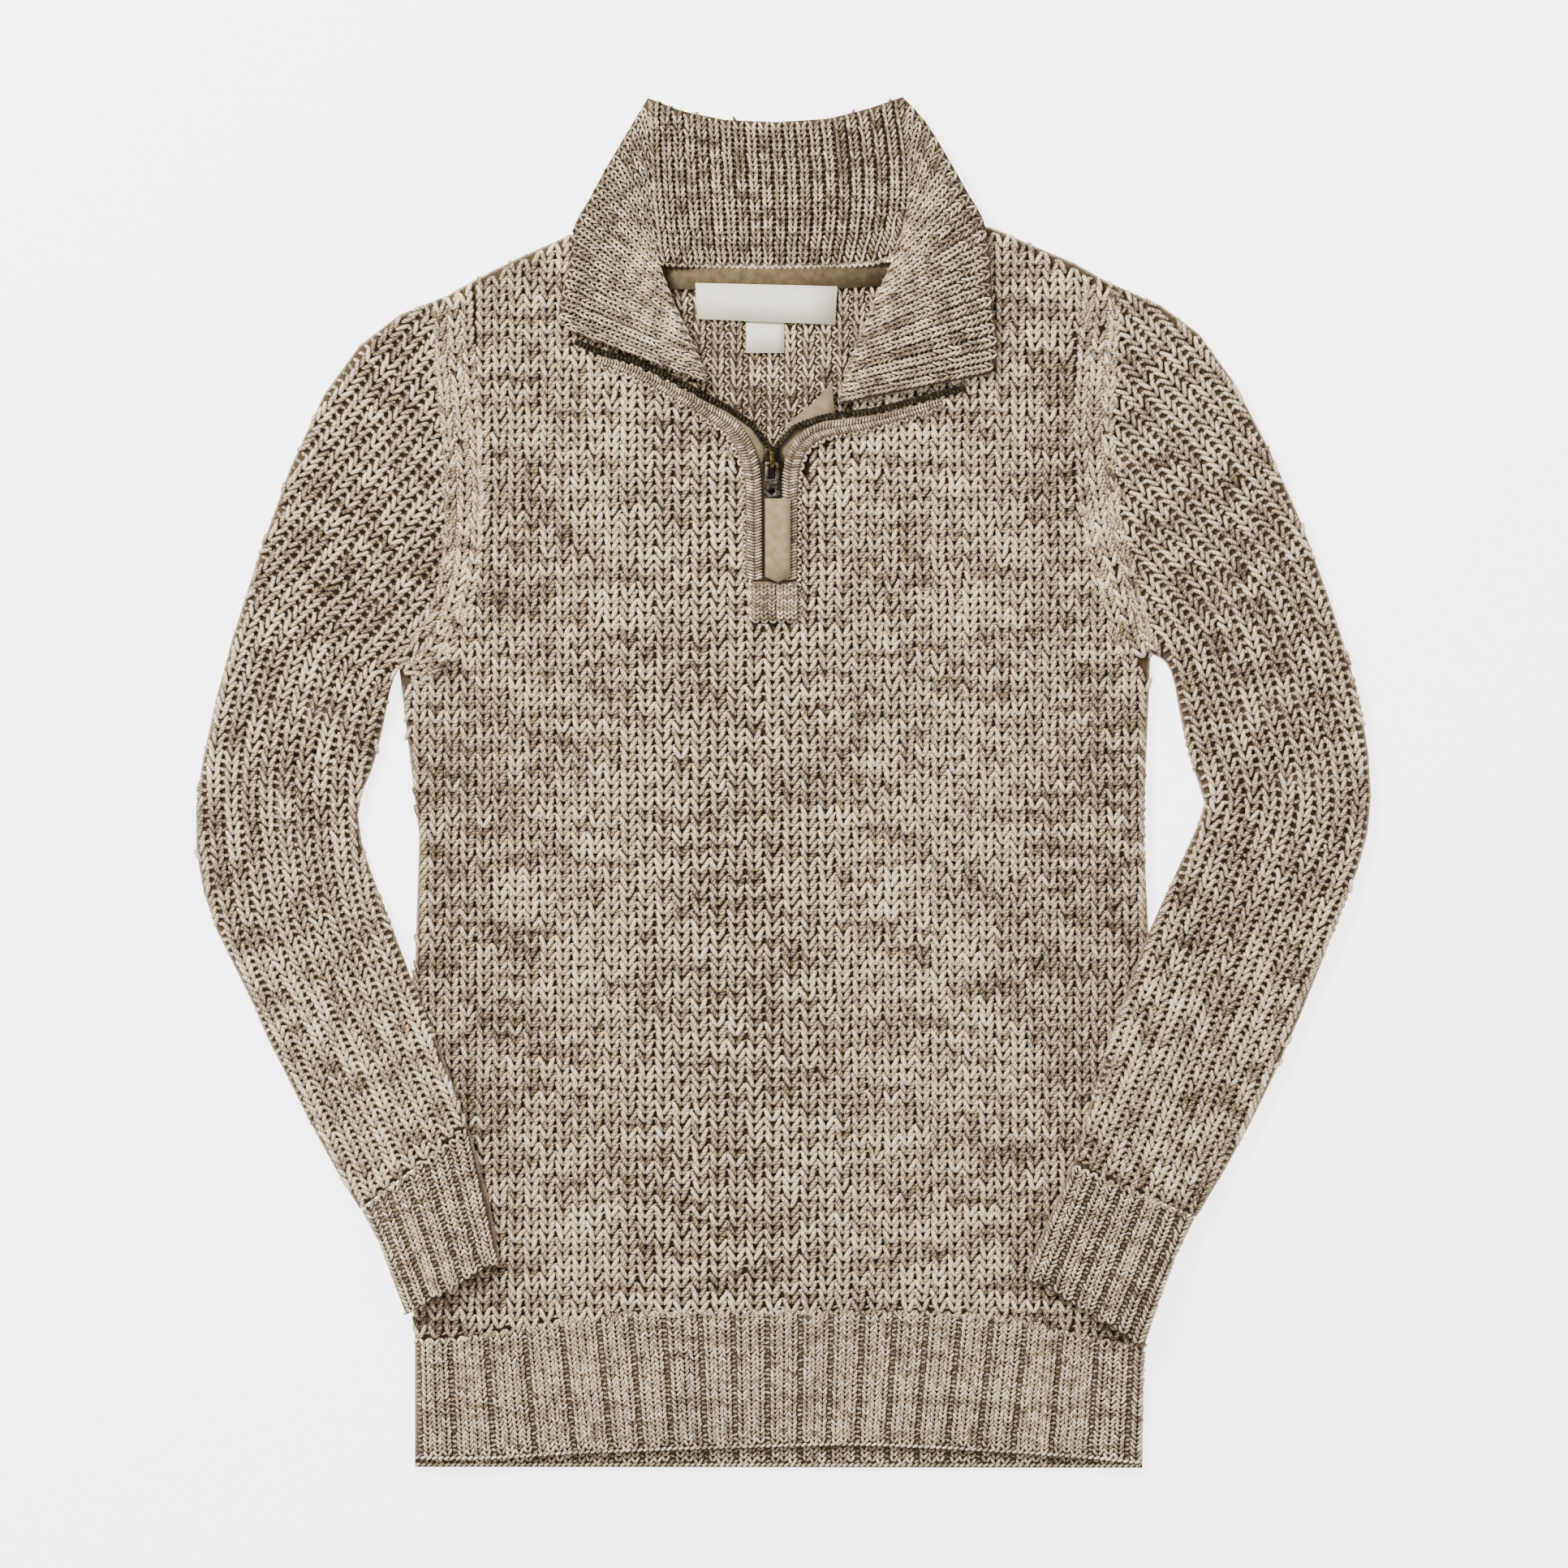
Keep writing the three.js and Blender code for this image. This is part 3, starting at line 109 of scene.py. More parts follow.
def right_of(along: np.ndarray) -> np.ndarray:
    """Turns flat directions a quarter clockwise."""
    return np.stack([along[..., 1], -along[..., 0]], -1)


class Guide:
    """A smooth line across the cloth that is read by its length."""

    def __init__(self, line: np.ndarray, smooth: bool = True, step: float = 0.5 * MM) -> None:
        """Makes the line.

        Args:
            line: Its places in metres.
            smooth: Whether it curves softly between them.
            step: The distance between the points that it is kept as.
        """
        if smooth:
            ends = np.vstack([2 * line[0] - line[1], line, 2 * line[-1] - line[-2]])
            share = np.linspace(0, 1, 24, endpoint=False)[:, None]
            parts = []
            for a, b, c, d in zip(ends, ends[1:], ends[2:], ends[3:]):
                parts.append(
                    0.5 * (2 * b + (c - a) * share + (2 * a - 5 * b + 4 * c - d) * share**2
                           + (3 * b - a - 3 * c + d) * share**3)
                )
            line = np.vstack(parts + [line[-1:]])
        reach = np.concatenate([[0], np.cumsum(np.linalg.norm(np.diff(line, axis=0), axis=1))])
        self.length = float(reach[-1])
        self.reach = np.linspace(0, self.length, max(int(self.length / step), 2) + 1)
        self.points = np.stack([np.interp(self.reach, reach, line[:, i]) for i in (0, 1)], -1)
        self.along = unit(np.gradient(self.points, axis=0))

    def at(self, distance: np.ndarray) -> tuple[np.ndarray, np.ndarray]:
        """Reads the line.

        Args:
            distance: Distances along it.

        Returns:
            The places there and the directions of the line.
        """
        here = [np.interp(distance, self.reach, self.points[:, i]) for i in (0, 1)]
        way = [np.interp(distance, self.reach, self.along[:, i]) for i in (0, 1)]
        return np.stack(here, -1), unit(np.stack(way, -1))

    def beside(self, offset: float | np.ndarray) -> "Guide":
        """Makes a line beside this one.

        Args:
            offset: The distance to the right, or one for each point of this line.

        Returns:
            The new line, without the loops that a tight bend would give it.
        """
        moved = self.points + right_of(self.along) * np.broadcast_to(offset, self.reach.shape)[:, None]
        forward = np.concatenate([[True], np.sum(np.diff(moved, axis=0) * self.along[1:], axis=1) > 0])
        return Guide(moved[forward], smooth=False)

    def distance(self, spots: np.ndarray) -> np.ndarray:
        """Measures how far places are from the line.

        Args:
            spots: The places.

        Returns:
            Their distances.
        """
        every = self.points[::4]
        return np.min(np.linalg.norm(spots[:, None] - every[None], axis=2), axis=1)


class Relief:
    """The upper face of a solid as a map of heights, with its outline."""

    CELL = 0.8 * MM
    ROOM = 12
    SPILL = 3

    def __init__(self, node: str, soften: float = 4.2, edge: float = 1.3, folds: Rows = ()) -> None:
        """Reads the solid's upper face.

        Args:
            node: The solid's name.
            soften: How far, in millimetres, its raised ribs are smoothed over.
            edge: The same beside its outline, where the cloth rounds off.
            folds: The creases, each with both ends, half its width and its depth, in millimetres.
        """
        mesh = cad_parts[node].data
        mesh.calc_loop_triangles()
        spots = np.zeros(len(mesh.vertices) * 3)
        mesh.vertices.foreach_get("co", spots)
        corners = np.zeros(len(mesh.loop_triangles) * 3, int)
        mesh.loop_triangles.foreach_get("vertices", corners)
        faces = spots.reshape(-1, 3)[corners.reshape(-1, 3)]
        normal = np.cross(faces[:, 1] - faces[:, 0], faces[:, 2] - faces[:, 0])
        faces = faces[normal[:, 2] > 1e-12]
        self.low = faces[..., :2].min((0, 1)) - self.ROOM * self.CELL
        size = np.ceil((faces[..., :2].max((0, 1)) - self.low) / self.CELL).astype(int) + self.ROOM
        self.raw = np.full(size, -np.inf)
        for face in faces:
            self._lay(face)
        self.mask = np.isfinite(self.raw)
        self.depth = self._depth()
        near, far = self._blur(edge * MM), self._blur(soften * MM)
        share = np.clip(self.depth / (6 * MM), 0, 1)
        self.folds = folds
        grid = np.stack(np.meshgrid(*(np.arange(count) for count in size), indexing="ij"), -1) * self.CELL + self.low
        self.smooth = near * (1 - share) + far * share - self.crease(grid)

    def crease(self, spots: np.ndarray) -> np.ndarray:
        """Tells how deep the creases are at places: a soft trough with a low ridge on either side.

        Args:
            spots: The places.

        Returns:
            The depths, below nought on a ridge.
        """
        depth = np.zeros(spots.shape[:-1])
        for first_x, first_y, last_x, last_y, width, deep in self.folds:
            first, last = places(((first_x, first_y), (last_x, last_y)))
            run = last - first
            share = np.clip(((spots[..., :2] - first) @ run) / (run @ run), 0, 1)
            bow = 0.08 * np.sin(share * math.pi)[..., None] * right_of(run)
            away = np.linalg.norm(spots[..., :2] - first - share[..., None] * run - bow, axis=-1) / (width * MM)
            fade = np.sin(np.clip(share, 0.03, 0.97) * math.pi) ** 0.7
            depth += deep * MM * fade * np.exp(-away**2) * (1 - 0.9 * away**2)
        return depth

    def _lay(self, face: np.ndarray) -> None:
        """Lays one triangle into the map, keeping the highest."""
        flat = (face[:, :2] - self.low) / self.CELL
        first, last = np.floor(flat.min(0)).astype(int), np.ceil(flat.max(0)).astype(int) + 1
        grid = np.stack(np.meshgrid(np.arange(first[0], last[0]), np.arange(first[1], last[1]), indexing="ij"), -1)
        a, b, c = flat
        whole = (b[0] - a[0]) * (c[1] - a[1]) - (b[1] - a[1]) * (c[0] - a[0])
        if abs(whole) < 1e-9:
            return
        v = ((grid[..., 0] - a[0]) * (c[1] - a[1]) - (grid[..., 1] - a[1]) * (c[0] - a[0])) / whole
        w = ((b[0] - a[0]) * (grid[..., 1] - a[1]) - (b[1] - a[1]) * (grid[..., 0] - a[0])) / whole
        inside = (v >= -0.02) & (w >= -0.02) & (v + w <= 1.02)
        height = face[0, 2] * (1 - v - w) + face[1, 2] * v + face[2, 2] * w
        part = self.raw[first[0]:last[0], first[1]:last[1]]
        np.maximum(part, np.where(inside, height, -np.inf), out=part)

    def _depth(self) -> np.ndarray:
        """Measures how far each cell is inside the outline, below nought just outside it."""
        left = self.mask.copy()
        for _ in range(self.SPILL):
            left = left | np.roll(left, 1, 0) | np.roll(left, -1, 0) | np.roll(left, 1, 1) | np.roll(left, -1, 1)
        depth = np.full(self.mask.shape, -self.SPILL * self.CELL)
        for turn in range(self.ROOM + self.SPILL):
            depth += left * self.CELL
            near = left.copy()
            for axis in (0, 1):
                for step in (-1, 1):
                    near &= np.roll(left, step, axis)
            if turn % 2:
                for step in ((1, 1), (1, -1), (-1, 1), (-1, -1)):
                    near &= np.roll(left, step, (0, 1))
            left = near
        return depth

    def _blur(self, spread: float) -> np.ndarray:
        """Smooths the heights over a distance, without the empty cells."""
        radius = max(int(round(spread / self.CELL)), 1)
        height = np.where(self.mask, self.raw, 0.0)
        weight = self.mask.astype(float)
        for _ in range(3):
            for axis in (0, 1):
                height, weight = (self._box(field_, radius, axis) for field_ in (height, weight))
        return np.where(weight > 1e-6, height / np.maximum(weight, 1e-6), height[self.mask].mean())

    @staticmethod
    def _box(values: np.ndarray, radius: int, axis: int) -> np.ndarray:
        """Averages values over a run of cells along one axis."""
        values = np.moveaxis(values, axis, 0)
        total = np.cumsum(np.pad(values, ((radius + 1, radius), (0, 0)), mode="edge"), axis=0)
        return np.moveaxis((total[2 * radius + 1:] - total[:-2 * radius - 1]) / (2 * radius + 1), 0, axis)

    def _read(self, field_: np.ndarray, spots: np.ndarray) -> np.ndarray:
        """Reads a map between its cells."""
        flat = (spots[..., :2] - self.low) / self.CELL
        flat = np.clip(flat, 0, np.array(field_.shape) - 1.001)
        first = flat.astype(int)
        u, v = np.moveaxis(flat - first, -1, 0)
        i, j = np.moveaxis(first, -1, 0)
        return (field_[i, j] * (1 - u) * (1 - v) + field_[i + 1, j] * u * (1 - v)
                + field_[i, j + 1] * (1 - u) * v + field_[i + 1, j + 1] * u * v)

    def height(self, spots: np.ndarray) -> np.ndarray:
        """Gives the height of the smoothed upper face at places."""
        return self._read(self.smooth, spots)

    def inside(self, spots: np.ndarray, margin: float = 0.0) -> np.ndarray:
        """Tells which places lie on the solid, at least a margin in from its outline."""
        return self._read(self.depth, spots) > margin


class Shader:
    """A material whose nodes are written in short calls."""

    def __init__(self, name: str, **inputs: object) -> None:
        """Starts a material.

        Args:
            name: The material's name.
            **inputs: Values of the surface's own sockets, spaces written as underscores.
        """
        self.material = bpy.data.materials.new(name)
        self.material.use_nodes = True
        self.tree = self.material.node_tree
        self.surface = self.tree.nodes["Principled BSDF"]
        for socket, value in inputs.items():
            self.feed(self.surface.inputs[socket.replace("_", " ")], value)

    def feed(self, socket: bpy.types.NodeSocket, value: object) -> None:
        """Links a socket to an output, or sets its value."""
        if isinstance(value, bpy.types.NodeSocket):
            self.tree.links.new(value, socket)
        else:
            socket.default_value = value

    def node(self, kind: str, inputs: dict | None = None, **settings: object) -> bpy.types.Node:
        """Adds a node.

        Args:
            kind: Its type, without the usual beginning of the type's name.
            inputs: Values or outputs for its sockets.
            **settings: Its own settings.

        Returns:
            The node.
        """
        node = self.tree.nodes.new("ShaderNode" + kind)
        for name, value in settings.items():
            setattr(node, name, value)
        for socket, value in (inputs or {}).items():
            self.feed(node.inputs[socket], value)
        return node

    def math(self, operation: str, *values: object, clamp: bool = False) -> bpy.types.NodeSocket:
        """Adds a sum of values or outputs and gives its result."""
        node = self.node("Math", operation=operation, use_clamp=clamp)
        for socket, value in zip(node.inputs, values):
            self.feed(socket, value)
        return node.outputs[0]

    def ramp(self, factor: bpy.types.NodeSocket, stops: Sequence[tuple[float, str]]) -> bpy.types.NodeSocket:
        """Turns a number into a colour.

        Args:
            factor: The number.
            stops: The colours and where each is reached.

        Returns:
            The colour.
        """
        node = self.node("ValToRGB", {"Fac": factor})
        band = node.color_ramp
        while len(band.elements) < len(stops):
            band.elements.new(0.5)
        for element, (position, colour) in zip(band.elements, stops):
            element.position, element.color = position, paint(colour)
        return node.outputs["Color"]

    def mix(self, factor: object, first: object, second: object) -> bpy.types.NodeSocket:
        """Mixes two colours and gives the result."""
        node = self.node("Mix", data_type="RGBA")
        for socket, value in zip((node.inputs[0], node.inputs[6], node.inputs[7]), (factor, first, second)):
            self.feed(socket, value)
        return node.outputs[2]

    def noise(self, scale: float, detail: float = 3, vector: object = None) -> bpy.types.NodeSocket:
        """Adds a soft noise and gives its strength."""
        inputs = {"Vector": vector or self.place(), "Scale": scale, "Detail": detail}
        return self.node("TexNoise", inputs).outputs["Fac"]

    def place(self) -> bpy.types.NodeSocket:
        """Gives the place on the object."""
        return self.node("TexCoord").outputs["Object"]

    def split(self, vector: bpy.types.NodeSocket) -> tuple[bpy.types.NodeSocket, ...]:
        """Gives the three numbers of a vector."""
        return tuple(self.node("SeparateXYZ", {"Vector": vector}).outputs)

    def raise_by(self, height: bpy.types.NodeSocket, distance: float, strength: float = 1.0) -> None:
        """Lets a height show as a raised surface, `distance` metres high."""
        bump = self.node("Bump", {"Height": height, "Distance": distance, "Strength": strength})
        self.feed(self.surface.inputs["Normal"], bump.outputs["Normal"])


def paint(colour: str) -> tuple[float, float, float, float]:
    """Turns a colour such as a79886 into the renderer's numbers."""
    parts = [int(colour[i:i + 2], 16) / 255 for i in (0, 2, 4)]
    return tuple(p / 12.92 if p <= 0.04045 else ((p + 0.055) / 1.055) ** 2.4 for p in parts) + (1.0,)


@dataclass(frozen=True)
class Finish:
    """What a surface is made of; its material is made once."""

    name: str

    def make(self) -> bpy.types.Material:
        """Makes the material."""
        raise NotImplementedError

    def material(self) -> bpy.types.Material:
        """Gives the material, and makes it when it is first asked for."""
        return bpy.data.materials.get(self.name) or self.make()


@dataclass(frozen=True)
class MarlYarn(Finish):
    """Yarn twisted from dark, middle and light plies, as the whole garment is knitted from."""

    dark: str = "46371f"
    middle: str = "937d5b"
    pale: str = "d9c39c"
    light: str = "fff3da"
    twist: float = 3.2  # millimetres of yarn to one turn

    def make(self) -> bpy.types.Material:
        """Makes the finish from the yarn's own map and the tone of each stitch, with each yarn's top painted lighter
        and its flanks painted darker, as light and shade.
        """
        shader = Shader(self.name, Roughness=0.85, Sheen_Weight=0.25, Sheen_Roughness=0.45,
                        Specular_IOR_Level=0.25)
        around, along, _ = shader.split(shader.node("UVMap", uv_map="Yarn").outputs["UV"])
        tone = shader.node("Attribute", attribute_name="tone").outputs["Fac"]
        turn = shader.math("MULTIPLY_ADD", along, 1 / self.twist, around)
        ply = shader.math("SINE", shader.math("MULTIPLY", turn, 2 * math.pi * 2))
        strand = shader.math("ABSOLUTE", shader.math("SINE", shader.math("MULTIPLY", turn, 2 * math.pi * 2)))
        wool = shader.node("CombineXYZ", {"X": shader.math("MULTIPLY", turn, 3.0),
                                          "Y": shader.math("MULTIPLY", along, 0.22)})
        streak = shader.noise(1.6, 2, wool.outputs["Vector"])
        marl = shader.noise(420, 2)
        cloud = shader.noise(90, 2)
        # Painted light and shade: the top of each yarn is painted lighter and its flanks darker.
        painted_ridge_light = shader.math("COSINE", shader.math("MULTIPLY", around, 2 * math.pi))
        fleck = shader.noise(1500, 2)
        level = shader.math("MULTIPLY_ADD", ply, 0.14, 0.3)
        level = shader.math("MULTIPLY_ADD", painted_ridge_light, 0.36, level)
        level = shader.math("ADD", level, shader.math("MULTIPLY_ADD", streak, 1.0, -0.5))
        level = shader.math("ADD", level, shader.math("MULTIPLY_ADD", fleck, 0.7, -0.35))
        level = shader.math("ADD", level, shader.math("MULTIPLY_ADD", marl, 0.6, -0.3))
        level = shader.math("ADD", level, shader.math("MULTIPLY_ADD", cloud, 0.3, -0.15))
        level = shader.math("MULTIPLY_ADD", tone, 0.27, level, clamp=True)
        stops = ((0.08, self.dark), (0.4, self.middle), (0.62, self.pale), (0.9, self.light))
        shader.feed(shader.surface.inputs["Base Color"], shader.ramp(level, stops))
        shader.raise_by(strand, 0.25 * MM, 0.6)
        return shader.material


@dataclass(frozen=True)
class KnitGround(Finish):
    """The cloth between and under the raised stitches: painted dark as shade in the hollows, plain knit where it is
    bare, its loops painted lighter on top and darker between them as light and shade.
    """

    # Painted shade: the dark colour of the cloth under the stitches.
    hollow: str = "4e3f29"
    dark: str = "6a5a42"
    light: str = "bba98c"
    wale: float = 7.6 * MM
    course: float = COURSE

    def make(self) -> bpy.types.Material:
        """Makes the finish, with rows of stitches where none is modelled."""
        shader = Shader(self.name, Roughness=0.92, Sheen_Weight=0.15, Specular_IOR_Level=0.2)
        x, y, _ = shader.split(shader.place())
        across = shader.math("FRACT", shader.math("MULTIPLY", x, 1 / self.wale))
        lean = shader.math("ABSOLUTE", shader.math("MULTIPLY_ADD", across, 2, -1))
        row = shader.math("MULTIPLY_ADD", y, 1 / self.course, shader.math("MULTIPLY", lean, -0.8))
        loop = shader.math("SINE", shader.math("MULTIPLY", shader.math("FRACT", row), math.pi))
        ridge = shader.math("SINE", shader.math("MULTIPLY", across, math.pi))
        height = shader.math("MULTIPLY", loop, shader.math("POWER", ridge, 0.5))
        marl = shader.noise(420, 3)
        # Painted light and shade: the loops' colour follows their height, lighter on top and darker between them.
        level = shader.math("MULTIPLY_ADD", height, 0.6, shader.math("MULTIPLY_ADD", marl, 1.0, -0.3), clamp=True)
        knit = shader.ramp(level, ((0.1, self.dark), (0.9, self.light)))
        shade_under_stitches = shader.node("Attribute", attribute_name="shade_under_stitches").outputs["Fac"]
        # Painted shade: where stitches cover the cloth, it takes the dark hollow colour.
        shader.feed(shader.surface.inputs["Base Color"], shader.mix(shade_under_stitches, knit, paint(self.hollow)))
        shader.raise_by(height, 0.8 * MM, 0.7)
        return shader.material


@dataclass(frozen=True)
class FineWeave(Finish):
    """A fine, flat cloth: two sets of threads at a small pitch, each set with its own direction."""

    dark: str
    light: str
    pitch: float = 0.9 * MM
    slope: float = 0.0  # how far a thread steps sideways over its own pitch
    height: float = 0.15 * MM
    middle: float | None = None  # x of the line where the slanted threads of a herringbone meet

    def make(self) -> bpy.types.Material:
        """Makes the finish."""
        shader = Shader(self.name, Roughness=0.8, Sheen_Weight=0.15, Specular_IOR_Level=0.25)
        x, y, _ = shader.split(shader.place())
        if self.middle is not None:
            x = shader.math("ABSOLUTE", shader.math("ADD", x, -self.middle))
        warp = shader.math("MULTIPLY_ADD", y, self.slope, x)
        weft = shader.math("MULTIPLY_ADD", x, -self.slope, y)
        over = [shader.math("SINE", shader.math("MULTIPLY", thread, 2 * math.pi / self.pitch))
                for thread in (warp, weft)]
        both = over[0] if self.middle is not None else shader.math("MULTIPLY", *over)
        weave = shader.math("MULTIPLY_ADD", both, 0.5, 0.5)
        level = shader.math("MULTIPLY_ADD", shader.noise(300, 3), 0.8, shader.math("MULTIPLY_ADD", weave, 0.7, -0.25),
                            clamp=True)
        shader.feed(shader.surface.inputs["Base Color"], shader.ramp(level, ((0.1, self.dark), (0.9, self.light))))
        shader.raise_by(weave, self.height, 0.8)
        return shader.material


@dataclass(frozen=True)
class DarkMetal(Finish):
    """Blackened metal with rubbed, paler patches."""

    name: str = "dark_metal"
    dark: str = "1c1610"
    worn: str = "6b5f4c"
    rough: float = 0.34

    def make(self) -> bpy.types.Material:
        """Makes the finish."""
        shader = Shader(self.name, Metallic=1.0, Roughness=self.rough)
        level = shader.math("MULTIPLY_ADD", shader.noise(700, 4), 1.4, -0.35, clamp=True)
        shader.feed(shader.surface.inputs["Base Color"], shader.ramp(level, ((0.2, self.dark), (0.95, self.worn))))
        shader.raise_by(shader.noise(2500, 2), 0.02 * MM, 0.4)
        return shader.material


@dataclass(frozen=True)
class PaleFloor(Finish):
    """A plain, pale studio floor."""

    name: str = "pale_floor"
    colour: str = "fafafa"

    def make(self) -> bpy.types.Material:
        """Makes the finish."""
        shader = Shader(self.name, Roughness=0.9, Specular_IOR_Level=0.1, Emission_Color=(1.0, 1.0, 1.0, 1.0),
                        Emission_Strength=3.2)
        level = shader.noise(6, 2)
        shader.feed(shader.surface.inputs["Base Color"], shader.ramp(level, ((0, self.colour), (1, "fcfcfc"))))
        return shader.material


YARN = MarlYarn("marl_yarn")
FINE_YARN = MarlYarn("fine_marl_yarn", twist=2.2)
GROUND = KnitGround("knit_ground")
RIB_GROUND = KnitGround("rib_ground", wale=2.9 * MM, course=2.0 * MM)
BAND_CLOTH = FineWeave("band_cloth", "4e402b", "8c7a5c", pitch=1.3 * MM)
TAPE_CLOTH = FineWeave("tape_cloth", "66563c", "a3936f", pitch=0.8 * MM)
NECK_CLOTH = FineWeave("neck_tape_cloth", "33260f", "85724f", pitch=1.3 * MM)
TWILL = FineWeave("twill_cloth", "6d5d3c", "bba67c", pitch=1.25 * MM, slope=1.0, middle=-2.5 * MM)
LABEL = FineWeave("label_cloth", "efe4c8", "fffbea", pitch=0.5 * MM, height=0.05 * MM)
CORD = FineWeave("zip_cord_cloth", "15100a", "352b1d", pitch=0.8 * MM)
METAL = DarkMetal(worn="4a4032")
TOOTH_METAL = DarkMetal("tooth_metal", "211b10", "968c6e", 0.32)
LINK_METAL = DarkMetal("link_metal", "2d2822", "978d7e", 0.4)
BRASS = DarkMetal("worn_brass", "3a2c15", "a58c5a", 0.36)


@dataclass
class Yarns:
    """Collects short lengths of yarn and makes one mesh of them all."""

    name: str
    sides: int = 4
    lines: list[np.ndarray] = field(default_factory=list)
    girths: list[np.ndarray] = field(default_factory=list)
    tones: list[np.ndarray] = field(default_factory=list)

    def add(self, line: np.ndarray, girth: np.ndarray, tone: np.ndarray) -> None:
        """Adds lengths of yarn.

        Args:
            line: Five points of each: its two tips and three between them.
            girth: The radius at the three middle points of each.
            tone: How light each is, from -1 to 1.
        """
        self.lines.append(line)
        self.girths.append(np.broadcast_to(girth, (len(line), 3)))
        self.tones.append(np.broadcast_to(tone, (len(line),)))

    def piece(self, finish: Finish, slot: Slot, body: str = "garment") -> bpy.types.Object:
        """Makes the mesh, with its maps and the tone of each length.

        Args:
            finish: What the yarn looks like.
            slot: The material slot that it would belong to; not used.
            body: The body that it moves with.

        Returns:
            The object.
        """
        line, girth = np.concatenate(self.lines), np.concatenate(self.girths)
        tone = np.concatenate(self.tones)
        count, sides = len(line), self.sides
        way = unit(line[:, 2:] - line[:, :-2])
        side = unit(np.cross(way, (0.0, 0.0, 1.0)))
        up = np.cross(side, way)
        angle = 2 * np.pi * np.arange(sides) / sides + np.pi / 2
        ring = (line[:, 1:4, None] + girth[..., None, None]
                * (np.cos(angle)[:, None] * side[:, :, None] + np.sin(angle)[:, None] * up[:, :, None]))
        spots = np.concatenate([line[:, :1], ring.reshape(count, -1, 3), line[:, 4:]], axis=1)
        quads, tips, quad_map, tip_map = self._pattern()
        size = spots.shape[1]
        start = (np.arange(count) * size)[:, None, None]
        corners = np.concatenate([(tips + start).reshape(-1), (quads + start).reshape(-1)])
        mesh = bpy.data.meshes.new(self.name)
        mesh.vertices.add(count * size)
        mesh.vertices.foreach_set("co", spots.reshape(-1))
        mesh.loops.add(len(corners))
        mesh.loops.foreach_set("vertex_index", corners)
        faces = count * (len(tips) + len(quads))
        firsts = np.concatenate([np.arange(count * len(tips)) * 3,
                                 count * len(tips) * 3 + np.arange(count * len(quads)) * 4])
        mesh.polygons.add(faces)
        mesh.polygons.foreach_set("loop_start", firsts)
        mesh.polygons.foreach_set("use_smooth", np.ones(faces, bool))
        mesh.update(calc_edges=True)
        steps = np.linalg.norm(np.diff(line, axis=1), axis=2)
        reach = np.concatenate([np.zeros((count, 1)), np.cumsum(steps, axis=1)], axis=1)
        cells = int(math.ceil(math.sqrt(count)))
        cell = np.stack([np.arange(count) % cells, np.arange(count) // cells], -1)
        local = np.concatenate([np.tile(part.reshape(-1, 2), (count, 1)) for part in (tip_map, quad_map)])
        whose = np.concatenate([np.repeat(np.arange(count), per) for per in (len(tips) * 3, len(quads) * 4)])
        bake = mesh.uv_layers.new(name="OFBake")
        flat = (cell[whose] + 0.06 + 0.88 * local / (4, 1)) / cells
        bake.data.foreach_set("uv", flat.reshape(-1))
        yarn = mesh.uv_layers.new(name="Yarn")
        along = reach[whose, np.rint(local[:, 0]).astype(int)] / MM
        seed = steady(count, 5)[whose]
        yarn.data.foreach_set("uv", np.stack([local[:, 1], along + seed * 3], -1).reshape(-1))
        mesh.attributes.new("tone", "FLOAT", "POINT").data.foreach_set("value", np.repeat(tone, size))
        piece = bpy.data.objects.new(self.name, mesh)
        bpy.context.scene.collection.objects.link(piece)
        mesh.materials.append(finish.material())
        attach(piece, body)
        log.info("%s: %d lengths of yarn, %d faces", self.name, count, faces)
        return piece

    def _pattern(self) -> tuple[np.ndarray, np.ndarray, np.ndarray, np.ndarray]:
        """Gives the faces of one length of yarn and their places on its map."""
        sides = self.sides
        at = lambda ring, side: 1 + ring * sides + side % sides
        end = 1 + 3 * sides
        quads, tips, quad_map, tip_map = [], [], [], []
        for side in range(sides):
            low, high = side / sides, (side + 1) / sides
            for ring in range(2):
                quads.append((at(ring, side), at(ring + 1, side), at(ring + 1, side + 1), at(ring, side + 1)))
                quad_map.append(((ring + 1, low), (ring + 2, low), (ring + 2, high), (ring + 1, high)))
            tips.append((at(0, side), at(0, side + 1), 0))
            tip_map.append(((1, low), (1, high), (0, (low + high) / 2)))
            tips.append((at(2, side + 1), at(2, side), end))
            tip_map.append(((3, high), (3, low), (4, (low + high) / 2)))
        return np.array(quads), np.array(tips), np.array(quad_map, float), np.array(tip_map, float)


